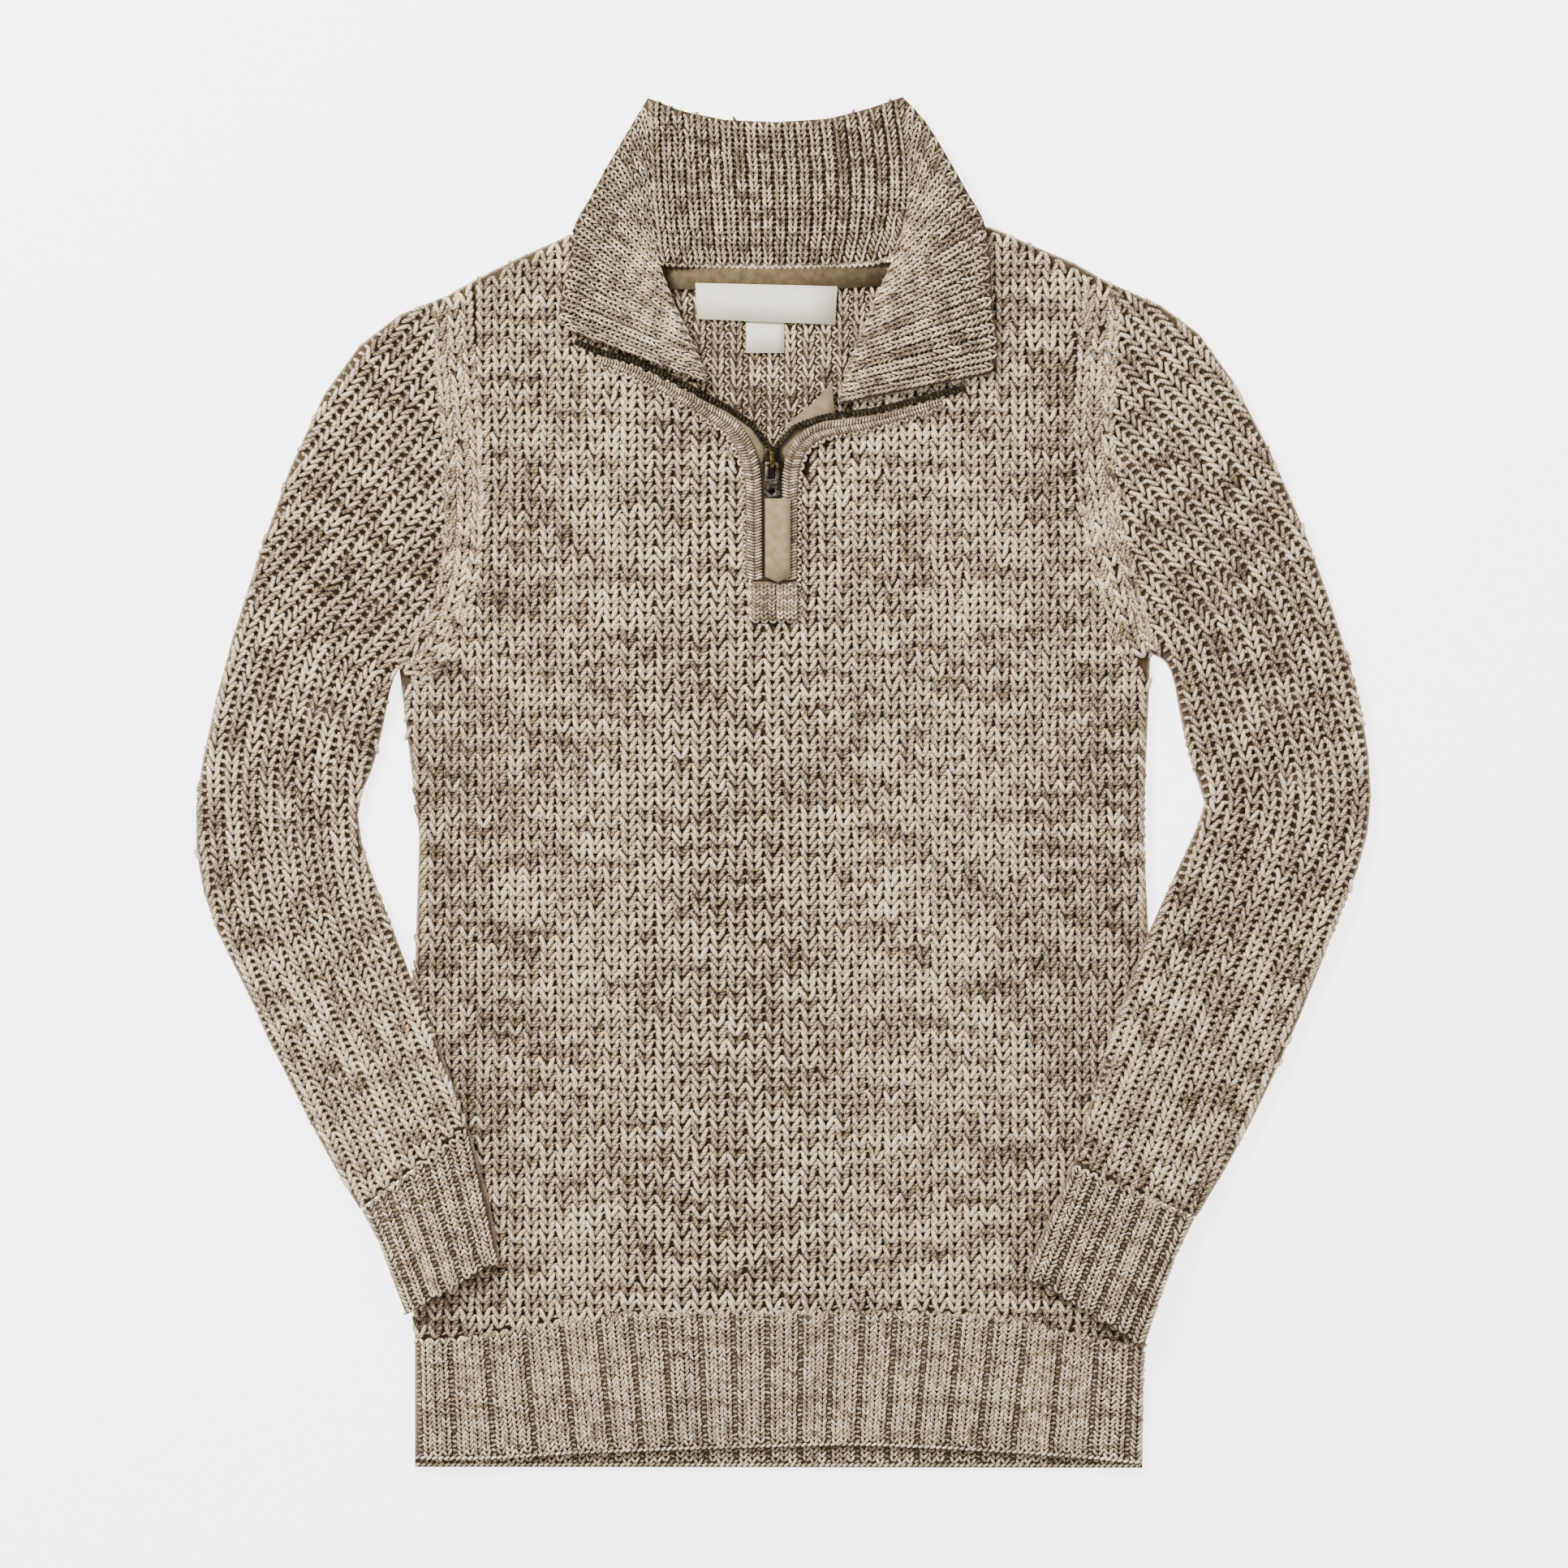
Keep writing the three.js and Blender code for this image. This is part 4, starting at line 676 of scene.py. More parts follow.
@dataclass(frozen=True)
class Chevron:
    """The shape of one leg of a V stitch: shares of its width and height, and heights over the cloth."""

    across: tuple[float, ...] = (0.02, 0.08, 0.24, 0.39, 0.45)
    along: tuple[float, ...] = (-0.28, -0.04, 0.55, 1.2, 1.45)
    lift: tuple[float, ...] = (-0.9, 0.1, 0.85, 0.25, -1.1)
    girth: tuple[float, ...] = (0.85, 1.0, 0.85)

    def lay(self, yarns: Yarns, relief: Relief, at: np.ndarray, along: np.ndarray, width: object,
            height: object, thick: float, tone: np.ndarray, margin: float = 0.0, raised: float = 0.0) -> None:
        """Lays V stitches on the cloth, leaving out what would lie beyond its outline.

        Args:
            yarns: Where they are collected.
            relief: The cloth.
            at: The lower middle of each stitch.
            along: The direction in which each opens.
            width: The width of the column, or one for each stitch.
            height: The height of a row, or one for each stitch.
            thick: The thickness of the yarn.
            tone: How light each stitch is.
            margin: How far in from the outline they stay.
            raised: How far they are lifted besides.
        """
        if not len(at):
            return
        turn = 0.09 * steady(len(at), len(at))[:, None]
        along = unit(along + right_of(along) * turn)
        aside = right_of(along)
        width, height = (np.broadcast_to(size, (len(at),))[:, None] for size in (width, height))
        at = (at + aside * width * 0.045 * steady(len(at), 23)[:, None]
              + along * height * 0.08 * steady(len(at), 29)[:, None])
        width = width * (1 + 0.07 * steady(len(at), 31)[:, None])
        for hand in (-1, 1):
            wobble = 1 + 0.1 * steady(len(at) * 5, 11 + hand).reshape(-1, 5)
            flat = (at[:, None] + aside[:, None] * (hand * width * self.across * wobble)[..., None]
                    + along[:, None] * (height * self.along)[..., None])
            level = relief.height(flat) + (np.array(self.lift) * MM + raised) * (1 + 0.12 * wobble)
            keep = relief.inside(flat[:, 1], margin) & relief.inside(flat[:, 2], margin)
            keep &= relief.inside(flat[:, 3], margin) & relief.inside(flat[:, 4], margin - 0.9 * MM)
            lines = np.concatenate([flat, level[..., None]], -1)[keep]
            shade = (tone + 0.35 * steady(len(at), 17 + hand))[keep]
            yarns.add(lines, thick / 2 * np.array(self.girth), shade)


@dataclass(frozen=True)
class Bar:
    """A short bar of yarn that lies across a hollow, as the back of a stitch does."""

    lift: tuple[float, ...] = (-1.2, -0.7, -0.35, -0.7, -1.2)
    girth: tuple[float, ...] = (0.85, 1.0, 0.85)

    def lay(self, yarns: Yarns, relief: Relief, at: np.ndarray, across: np.ndarray, length: object,
            thick: float, tone: np.ndarray, raised: float = 0.0, margin: float = 0.0) -> None:
        """Lays bars on the cloth.

        Args:
            yarns: Where they are collected.
            relief: The cloth.
            at: The middle of each bar.
            across: The direction in which each lies.
            length: Their length, or one for each.
            thick: The thickness of the yarn.
            tone: How light each is.
            raised: How far they are lifted besides.
            margin: How far in from the outline they stay.
        """
        length = np.broadcast_to(length, (len(at),))
        keep = relief.inside(at, margin)
        for end in (-0.5, 0.5):
            keep = keep & relief.inside(at + across * (end * length)[:, None], margin - 1.0 * MM)
        length = length[keep]
        at, across, tone = at[keep], across[keep], tone[keep]
        if not len(at):
            return
        share = np.array((-0.5, -0.36, 0.0, 0.36, 0.5))
        flat = at[:, None] + across[:, None] * (length[:, None] * share)[..., None]
        level = relief.height(flat) + np.array(self.lift) * MM + raised
        yarns.add(np.concatenate([flat, level[..., None]], -1), thick / 2 * np.array(self.girth), tone)


def shell(node: str, name: str, relief: Relief | None, sink: float, finish: Finish, slot: Slot,
          body: str = "garment") -> bpy.types.Object:
    """Makes the thin cloth that carries the stitches, from the solid that it stands for.

    Args:
        node: The solid.
        name: The cloth's name.
        relief: The solid's upper face, or nothing where the solid's own face stays.
        sink: How far the cloth lies below the smoothed face, to leave room for the stitches.
        finish: What it looks like.
        slot: The material slot that it would belong to; not used.
        body: The body that it moves with.

    Returns:
        The object.
    """
    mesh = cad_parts[node].data.copy()
    mesh.name = name
    mesh.materials.clear()
    work = bmesh.new()
    work.from_mesh(mesh)
    bmesh.ops.remove_doubles(work, verts=work.verts, dist=1e-6)
    spots = np.array([vertex.co for vertex in work.verts])
    shade_under_stitches = np.zeros(len(spots))
    if relief is not None:
        limit = relief.height(spots) - sink
        top = (spots[:, 2] > limit) & (relief.height(spots) - spots[:, 2] < 2.2 * MM)
        # Painted shade: the upper face under the stitches is marked, and the ground's finish paints it dark there.
        shade_under_stitches = top.astype(float)
        under = relief.crease(spots) * 0.35 * ~top
        for vertex, found, height, rise in zip(work.verts, top, limit, under):
            vertex.co.z = height if found else vertex.co.z + max(rise, 0)
    layer = work.verts.layers.float.new("shade_under_stitches")
    for vertex, value in zip(work.verts, shade_under_stitches):
        vertex[layer] = value
    work.to_mesh(mesh)
    work.free()
    mesh.polygons.foreach_set("use_smooth", np.ones(len(mesh.polygons), bool))
    mesh.materials.append(finish.material())
    piece = bpy.data.objects.new(name, mesh)
    bpy.context.scene.collection.objects.link(piece)
    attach(piece, body)
    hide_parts(node)
    return piece


def marl(spots: np.ndarray, seed: int, rows: float = COURSE) -> np.ndarray:
    """Gives each stitch a tone that runs on along its row, as one yarn does, and changes from row to row.

    Args:
        spots: The places of the stitches.
        seed: Which series.
        rows: The height of a row.

    Returns:
        The tones, from about -1 to 1.
    """
    row = np.rint(spots[:, 1] / rows).astype(int)
    phase = steady(4096, seed)[row % 4096] * 30
    wave = np.sin(spots[:, 0] / (9 * MM) + phase) + np.sin(spots[:, 0] / (23 * MM) - phase * 1.7)
    return 0.35 * wave + 0.5 * steady(len(spots), seed + 1)


@dataclass
class BodyPanels:
    """The front and the back, knitted in wide columns of V stitches with a hollow between them."""

    pitch: float = 7.05 * MM
    pitch_middle: float = 8.1 * MM
    middle: float = -25.0 * MM
    middle_reach: float = 44.0 * MM
    yarn: float = 2.25 * MM
    sink: float = 1.3 * MM
    seam_clear: float = 11.0 * MM
    folds: Rows = ((-160, 42, -116, -6, 9, 1.4), (-154, 14, -122, -34, 8, 1.0), (152, 44, 110, -4, 9, 1.4),
                   (148, 12, 120, -30, 8, 1.0), (-72, 60, -86, -120, 13, 0.8), (64, 40, 82, -150, 14, 0.9),
                   (-2, -60, -6, -200, 15, 0.7), (-128, 180, -108, 120, 10, 0.8), (124, 186, 104, 126, 10, 0.8))
    armholes: dict[Side, Rows] = field(default_factory=lambda: {
        Side.LEFT: ((-170.5, 51.5), (-161, 58.5), (-151, 78), (-146.5, 94.5), (-144.5, 125.5), (-145.5, 151),
                    (-148.5, 189), (-150, 216)),
        Side.RIGHT: ((163, 57), (158, 67.5), (150.5, 94), (145, 113.5), (142, 139.5), (141, 166),
                     (143.5, 198.5), (145, 222)),
    })

    def columns(self, low: float, high: float) -> tuple[np.ndarray, np.ndarray]:
        """Gives the middle of each column of stitches and its width."""
        found = []
        for way in (-1, 1):
            x = self.middle
            while low < x < high:
                away = abs(x - self.middle) / self.middle_reach
                width = self.pitch + (self.pitch_middle - self.pitch) * math.exp(-away**4)
                found.append((x + way * width / 2, width))
                x += way * width
        found = np.array(sorted(found))
        return found[:, 0], found[:, 1]

    def lattice(self, relief: Relief, low: float, high: float, bottom: float,
                top: float) -> tuple[np.ndarray, np.ndarray]:
        """Gives the place and the column width of every stitch of a panel."""
        x, width = self.columns(low, high)
        rows = np.arange(math.floor(bottom / COURSE), math.ceil(top / COURSE)) * COURSE
        sway = 0.5 * MM * np.sin(x / (31 * MM)) + 0.35 * MM * steady(len(x), 3)
        spots = np.stack(np.broadcast_arrays(x[:, None], rows[None] + sway[:, None]), -1).reshape(-1, 2)
        return spots, np.repeat(width, len(rows))

    def build(self) -> list[bpy.types.Object]:
        """Makes both panels and their stitches.

        Returns:
            The pieces.
        """
        made = []
        chevron, bar = Chevron(), Bar()
        relief = Relief("front", folds=self.folds)
        front = shell("front", "front_cloth", relief, self.sink, GROUND, Slot.KNIT)
        spots, width = self.lattice(relief, relief.low[0], -relief.low[0], -0.26, 0.26)
        seams = {side: Guide(places(rows)) for side, rows in self.armholes.items()}
        away = np.minimum(*(seam.distance(spots) for seam in seams.values()))
        keep = (away > self.seam_clear) & relief.inside(spots, -1 * MM)
        spots, width = spots[keep], width[keep]
        up = np.broadcast_to((0.0, 1.0), spots.shape)
        # Painted shade: the stitches are painted darker towards both sides of the panel.
        tone = marl(spots, 41) - 0.3 * np.clip((np.abs(spots[:, 0]) - 0.085) / 0.05, 0, 1)
        for side in Side:
            yarns = Yarns(f"front_stitches_{side.name.lower()}")
            mine = spots[:, 0] * side.value > 0
            chevron.lay(yarns, relief, spots[mine], up[mine], width[mine], COURSE, self.yarn, tone[mine], -0.1 * MM)
            gaps = spots[mine] + np.stack([width[mine] / 2, np.full(mine.sum(), 1.2 * MM)], -1)
            lean = unit(np.stack([np.ones(len(gaps)), 0.5 * steady(len(gaps), 7)], -1))
            bar.lay(yarns, relief, gaps, lean, 3.0 * MM, 1.2 * MM, tone[mine] + 0.2, margin=0.6 * MM)
            seam = seams[side]
            for number, offset in enumerate((3.4, 9.2)):
                line = seam.beside(-side.value * offset * MM)
                at, along = line.at(np.arange(1.5 * MM, line.length, COURSE))
                chevron.lay(yarns, relief, at, along, 6.4 * MM, COURSE, self.yarn, marl(at, 50 + number),
                            0.6 * MM, 0.2 * MM)
            Seam(1.6 * MM, 3.4 * MM, 1.8 * MM).lay(yarns, seam, relief, Relief("sleeve_" + side.name.lower()), 55)
            piece = yarns.piece(YARN, Slot.KNIT)
            made.append(piece)
        made.append(front)
        relief = Relief("back")
        back = shell("back", "back_cloth", relief, 0.9 * MM, GROUND, Slot.KNIT)
        spots, width = self.lattice(relief, -0.075, 0.075, 0.07, 0.216)
        label = np.abs(spots - places([(-8, 199)])).max(1) < 7.5 * MM
        spots, width = spots[~label], width[~label]
        tone = marl(spots, 43) - 0.2
        yarns = Yarns("back_inner_stitches")
        up = np.broadcast_to((0.0, 1.0), spots.shape)
        chevron.lay(yarns, relief, spots, up, width * 0.74, COURSE, 1.7 * MM, tone, raised=-0.35 * MM)
        for step in (0.0, 0.5):
            ladder = spots + np.stack([width / 2, np.full(len(spots), step * COURSE)], -1)
            lean = unit(np.stack([np.ones(len(ladder)), 0.8 * (1 - 4 * step) + 0.3 * steady(len(ladder), 9)], -1))
            bar.lay(yarns, relief, ladder, lean, 3.4 * MM, 1.15 * MM, tone + 0.1, raised=0.1 * MM)
        inner = yarns.piece(YARN, Slot.KNIT)
        return made + [back, inner]


@dataclass
class Sleeve:
    """One sleeve: a tube bent at the elbow, its columns narrowing towards the cuff."""

    side: Side
    middle: Rows
    cut: tuple[float, float]
    area: float
    # column widths and row heights from the shoulder to the cuff, in millimetres
    pitch: tuple[float, ...] = (8.6, 8.6, 8.2, 7.8, 7.2, 7.0)
    rows: tuple[float, ...] = (3.85, 3.85, 3.85, 3.9, 3.3, 3.0)
    columns: int = 10
    yarn: float = 2.1 * MM
    sink: float = 1.2 * MM
    folds: Rows = ()

    def build(self) -> list[bpy.types.Object]:
        """Makes the tube and its stitches."""
        name = f"sleeve_{self.side.name.lower()}"
        relief = Relief(name, soften=2.6, folds=self.folds)
        cloth = shell(name, name + "_cloth", relief, self.sink, GROUND, Slot.KNIT)
        yarns = Yarns(name + "_stitches")
        centre = Guide(places(self.middle))
        chevron, bar = Chevron(), Bar()
        spread = np.interp(centre.reach / centre.length, np.linspace(0, 1, len(self.pitch)), self.pitch) * MM
        for number in range(-self.columns, self.columns + 1):
            line = centre.beside(number * spread)
            reach = [0.5 * MM * ((number * 5) % 3)]
            while reach[-1] < line.length:
                share = reach[-1] / line.length
                reach.append(reach[-1] + float(np.interp(share, np.linspace(0, 1, len(self.rows)), self.rows)) * MM)
            reach = np.array(reach[:-1])
            at, along = line.at(reach)
            along = -along
            width = np.interp(reach / line.length, centre.reach / centre.length, spread)
            height = np.gradient(reach)
            tone = marl(np.stack([at[:, 1], at[:, 0]], -1), 60 + number % 3) - 0.1
            chevron.lay(yarns, relief, at, along, width * 0.86, height, self.yarn, tone, -0.1 * MM)
            gaps = at + right_of(along) * (width / 2)[:, None]
            lean = unit(right_of(along) + along * (0.5 * steady(len(at), 70 + number))[:, None])
            bar.lay(yarns, relief, gaps, lean, 3.6 * MM, 1.8 * MM, tone - 0.1, 0.1 * MM, 0.4 * MM)
        seam = Guide(places(BodyPanels().armholes[self.side])).beside(self.side.value * 3.2 * MM)
        at, along = seam.at(np.arange(1.5 * MM, seam.length, COURSE))
        chevron.lay(yarns, relief, at, along, 5.6 * MM, COURSE, self.yarn, marl(at, 68) - 0.3, 0.0, 0.3 * MM)
        stitches = yarns.piece(YARN, Slot.KNIT)
        return [cloth, stitches]


@dataclass(frozen=True)
class Seam:
    """A row of small slanted stitches that closes the gap between two pieces of cloth."""

    pitch: float = 1.8 * MM
    length: float = 3.2 * MM
    thick: float = 1.5 * MM
    drop: float = 0.5 * MM

    def lay(self, yarns: Yarns, line: Guide, first: Relief, second: Relief, seed: int) -> None:
        """Lays the seam.

        Args:
            yarns: Where its stitches are collected.
            line: Where it runs.
            first: The cloth on one side of it.
            second: The cloth on the other side.
            seed: Which series of tones.
        """
        at, along = line.at(np.arange(0, line.length, self.pitch))
        hand = (-1.0) ** np.arange(len(at))
        lean = unit(along * 0.75 + right_of(along) * hand[:, None])
        share = np.array((-0.5, -0.34, 0.0, 0.34, 0.5)) * self.length
        flat = at[:, None] + lean[:, None] * share[:, None]
        both = np.maximum(first.height(at), second.height(at))
        level = both[:, None] - self.drop + np.array((-1.0, -0.2, 0.2, -0.2, -1.0)) * MM
        keep = np.ones(len(at), bool)
        for end in (at - along * self.length / 2, at, at + along * self.length / 2):
            keep &= first.inside(end, -1 * MM) | second.inside(end, -1 * MM)
        yarns.add(np.concatenate([flat, level[..., None]], -1)[keep], self.thick / 2 * np.array((0.85, 1.0, 0.85)),
                  marl(at, seed, self.pitch)[keep])


@dataclass
class WideRib:
    """A band of wide ribs: fine columns of V stitches, and hollows of purl bars between them."""

    node: str
    slot: Slot = Slot.RIB
    fine: float = 2.0 * MM
    yarn: float = 1.35 * MM
    hollow: float = 2.7 * MM
    column: float = 3.8 * MM

    def ribs(self, yarns: Yarns, relief: Relief, tops: np.ndarray, feet: np.ndarray, seed: int) -> None:
        """Lays the ribs between lines from tops to feet.

        Args:
            yarns: Where the stitches are collected.
            relief: The cloth.
            tops: The upper end of the hollow on each side of a rib.
            feet: The lower ends.
            seed: Which series of tones.
        """
        chevron = Chevron(lift=(-0.6, 0.1, 0.5, 0.1, -0.7), across=(0.02, 0.10, 0.26, 0.41, 0.47),
                          along=(-0.3, -0.1, 0.4, 0.95, 1.2))
        bar = Bar(lift=(-1.0, -0.8, -0.5, -0.8, -1.0))
        for rib in range(len(tops) - 1):
            high = np.stack([tops[rib], tops[rib + 1]])
            low = np.stack([feet[rib], feet[rib + 1]])
            rows = int(np.linalg.norm(high[0] - low[0]) / self.fine)
            share = (np.arange(rows) + 0.5)[:, None] / rows
            left, right = low[0] + (high[0] - low[0]) * share, low[1] + (high[1] - low[1]) * share
            width = np.linalg.norm(right - left, axis=1)
            columns = max(int(round(float(width.mean() - self.hollow) / self.column)), 1)
            pitch = (width - self.hollow) / columns
            aside = unit(right - left)
            up = unit(np.broadcast_to(high.mean(0) - low.mean(0), left.shape))
            for column in range(columns):
                at = left + aside * (self.hollow / 2 + pitch * (column + 0.5))[:, None]
                at = at + up * (self.fine * 0.3 * ((column * 7 + rib) % 3 - 1))
                tone = marl(at, seed + column, self.fine)
                chevron.lay(yarns, relief, at, up, pitch * 1.05, self.fine, self.yarn, tone, -0.4 * MM)
            lean = unit(aside + up * (0.35 * (-1) ** np.arange(rows))[:, None])
            # Painted shade: the purl bars in the hollows are painted darker than the ribs.
            bar.lay(yarns, relief, left, lean, self.hollow * 0.95, self.yarn, marl(left, seed + 9, self.fine) - 0.7)


@dataclass
class HemRibs(WideRib):
    """The front and back hems, with the light row of loops along the front's edge."""

    node: str = "front_hem_rib"
    gutters: tuple[float, ...] = (517, 558, 604, 653, 700, 745, 784, 823, 866, 905, 946, 986, 1023, 1060, 1098,
                                  1136, 1175, 1214, 1256, 1301, 1347, 1391, 1413)

    def build(self) -> list[bpy.types.Object]:
        """Makes both hems."""
        relief = Relief(self.node, soften=2.0)
        cloth = shell(self.node, "front_hem_cloth", relief, 0.7 * MM, RIB_GROUND, self.slot)
        x = (np.array(self.gutters) - 965) * 0.36
        seam = Guide(places(((-170, -247.5), (-146, -247), (-112.5, -241.5), (-85.5, -237), (-50, -235),
                             (3.5, -234.5),
                             (70, -235.5), (103.5, -238.5), (137, -246.5), (165, -251))))
        edge = Guide(places(((-170, -300), (-130, -300), (-85.5, -297.5), (3.5, -294.5), (48, -294.5), (126, -299),
                             (165, -303))))
        middle = places(np.stack([x, np.zeros(len(x))], -1))[:, 0]
        lean = 3.0 * MM * np.exp(-((middle + 0.09) / 0.06) ** 2) - 3.0 * MM * np.exp(-((middle - 0.09) / 0.06) ** 2)
        ends = []
        for line, way in ((seam, -1), (edge, 1)):
            at = middle + way * lean
            ends.append(np.stack([at, np.interp(at, line.points[:, 0], line.points[:, 1])], -1))
        yarns = Yarns("front_hem_stitches")
        self.ribs(yarns, relief, ends[0] - (0, 0.6 * MM), ends[1] + (0, 1.2 * MM), 80)
        at, along = edge.at(np.arange(0, edge.length, 2.6 * MM))
        at = at + (0, 1.0 * MM)
        Bar(lift=(-0.4, 0.1, 0.35, 0.1, -0.4)).lay(
            yarns, relief, at, unit(along + (0, 0.5)), 2.8 * MM, 1.3 * MM, 0.5 + marl(at, 88))
        Seam(2.4 * MM, 3.6 * MM, 1.7 * MM, 0.3 * MM).lay(yarns, seam, relief, Relief("front"), 89)
        stitches = yarns.piece(FINE_YARN, self.slot)
        relief = Relief("back_hem_rib", soften=1.6)
        lower = Guide(places(((-170, -303.2), (165, -303.7))))
        yarns = Yarns("back_hem_stitches")
        foot = np.stack([ends[1][:, 0], np.interp(ends[1][:, 0], lower.points[:, 0], lower.points[:, 1])], -1)
        self.ribs(yarns, relief, foot + (0, 13 * MM), foot + (0, 1.2 * MM), 90)
        at, along = lower.at(np.arange(0, lower.length, 2.6 * MM))
        Bar(lift=(-0.4, 0.1, 0.35, 0.1, -0.4)).lay(
            yarns, relief, at + (0, 0.9 * MM), unit(along + (0, 0.5)), 2.8 * MM, 1.3 * MM, marl(at, 98))
        edging = yarns.piece(FINE_YARN, self.slot)
        under = shell("back_hem_rib", "back_hem_cloth", relief, 0.4 * MM, RIB_GROUND, self.slot)
        return [cloth, stitches, under, edging]


@dataclass
class CuffRib(WideRib):
    """A cuff: a short tube of wide ribs at the end of a sleeve."""

    side: Side = Side.LEFT
    outer: Rows = ()
    inner: Rows = ()
    cut: tuple[float, float] = (0.11, 0.056)
    shares: tuple[float, ...] = (0.0, 0.13, 0.25, 0.42, 0.6, 0.8, 1.0)

    def build(self) -> list[bpy.types.Object]:
        """Makes the cuff."""
        relief = Relief(self.node, soften=2.0)
        cloth = shell(self.node, self.node + "_cloth", relief, 0.7 * MM, RIB_GROUND, self.slot)
        ends = [(places(self.outer)[row], places(self.inner)[row]) for row in (0, -1)]
        shares = np.array(self.shares)[:, None]
        tops, feet = (a + (b - a) * shares for a, b in ends)
        yarns = Yarns(self.node + "_stitches")
        self.ribs(yarns, relief, tops, feet, 120)
        seam = Guide(np.stack([ends[0][0], ends[0][1]]), smooth=False)
        Seam(2.0 * MM, 3.4 * MM, 1.6 * MM, 0.2 * MM).lay(
            yarns, seam, relief, Relief("sleeve_" + self.side.name.lower()), 130)
        stitches = yarns.piece(FINE_YARN, self.slot)
        return [cloth, stitches]


@dataclass
class StandCollar:
    """The stand collar: double cloth in narrow ribs, folded outwards into a leaf on each side."""

    leaves: dict[Side, Rows]  # rows of fold x, fold y, edge x, edge y
    back_top: Rows
    back_seam: Rows
    ribs: int = 21
    leaf_ribs: int = 22
    fan: float = 1.5  # how much closer the ribs' outer ends lie to the peak than their ends on the fold
    row: float = 2.25 * MM
    yarn: float = 1.5 * MM

    def build(self) -> list[bpy.types.Object]:
        """Makes the collar and its stitches."""
        relief = Relief("collar", soften=2.6)
        cloth = shell("collar", "collar_cloth", relief, 1.4 * MM, GROUND, Slot.RIB)
        chevron = Chevron(lift=(-0.6, 0.2, 0.7, 0.2, -0.8), across=(0.03, 0.1, 0.25, 0.38, 0.43))
        yarns = Yarns("collar_stitches")
        top, seam = Guide(places(self.back_top)), Guide(places(self.back_seam))
        for rib in range(self.ribs):
            share = (rib + 0.5) / self.ribs
            high, low = (line.at(np.array([line.length * share]))[0][0] for line in (top, seam))
            bow = (6.4 * share**2 - 1.6 * (1 - share) ** 2) * MM
            # Painted shade: the back of the collar is painted darker than the leaves.
            self._rib(yarns, relief, chevron, low, high, (5.2, 5.2), 200 + rib, -0.5, bow)
        for side in Side:
            rows = np.array(self.leaves[side])
            fold, edge = Guide(places(rows[:, :2])), Guide(places(rows[:, 2:4]))
            for rib in range(self.leaf_ribs):
                share = (rib + np.array((0.4, 0.9, 1.4))) / (self.leaf_ribs + 0.5)
                low, high = edge.at(edge.length * share)[0], fold.at(fold.length * share ** (1 / self.fan))[0]
                up = unit(high[1] - low[1])
                widths = [abs(float(np.dot(right_of(up), end[2] - end[0]))) / MM for end in (low, high)]
                # Painted shade: the leaves are painted a little darker too.
                self._rib(yarns, relief, chevron, low[1], high[1], np.clip(widths, 3.6, 7.5), 230 + rib, -0.15)
        Seam(1.3 * MM, 3.4 * MM, 1.4 * MM, 0.9 * MM).lay(yarns, seam, relief, Relief("back"), 260)
        stitches = yarns.piece(FINE_YARN, Slot.RIB)
        return [cloth, stitches]

    def _rib(self, yarns: Yarns, relief: Relief, chevron: Chevron, low: np.ndarray, high: np.ndarray,
             widths: Sequence[float], seed: int, shade: float, bow: float = 0.0) -> None:
        """Lays one rib from its foot to its top, with the hollow on its right.

        Args:
            yarns: Where its stitches are collected.
            relief: The collar's face.
            chevron: The shape of a stitch.
            low: The rib's foot.
            high: Its top.
            widths: Its width at both, in millimetres.
            seed: Which series of tones.
            shade: How much darker it is painted than the rest, as painted shade.
            bow: How far it bends to the right halfway up.
        """
        length = float(np.linalg.norm(high - low))
        rows = max(int(length / self.row), 1)
        share = (np.arange(rows) + 0.5) / rows
        up = unit(np.broadcast_to(high - low, (rows, 2)))
        at = low + (high - low) * share[:, None] + right_of(up) * (bow * np.sin(math.pi * share**0.8))[:, None]
        width = (widths[0] + (widths[1] - widths[0]) * share) * MM
        tone = marl(at, seed, self.row) + 0.3 * math.sin(seed * 2.3) + shade
        chevron.lay(yarns, relief, at, up, width * 0.9, self.row * 1.05, 0.27 * sum(widths) / 2 * MM, tone, -0.3 * MM)
        gaps = at + right_of(up) * (width / 2)[:, None]
        lean = unit(right_of(up) + up * (0.4 * (-1.0) ** np.arange(rows))[:, None])
        # Painted shade: the bars in the hollow are painted darker than the rib.
        Bar().lay(yarns, relief, gaps, lean, width * 0.4, 1.0 * MM, tone - 0.7, -0.3 * MM)


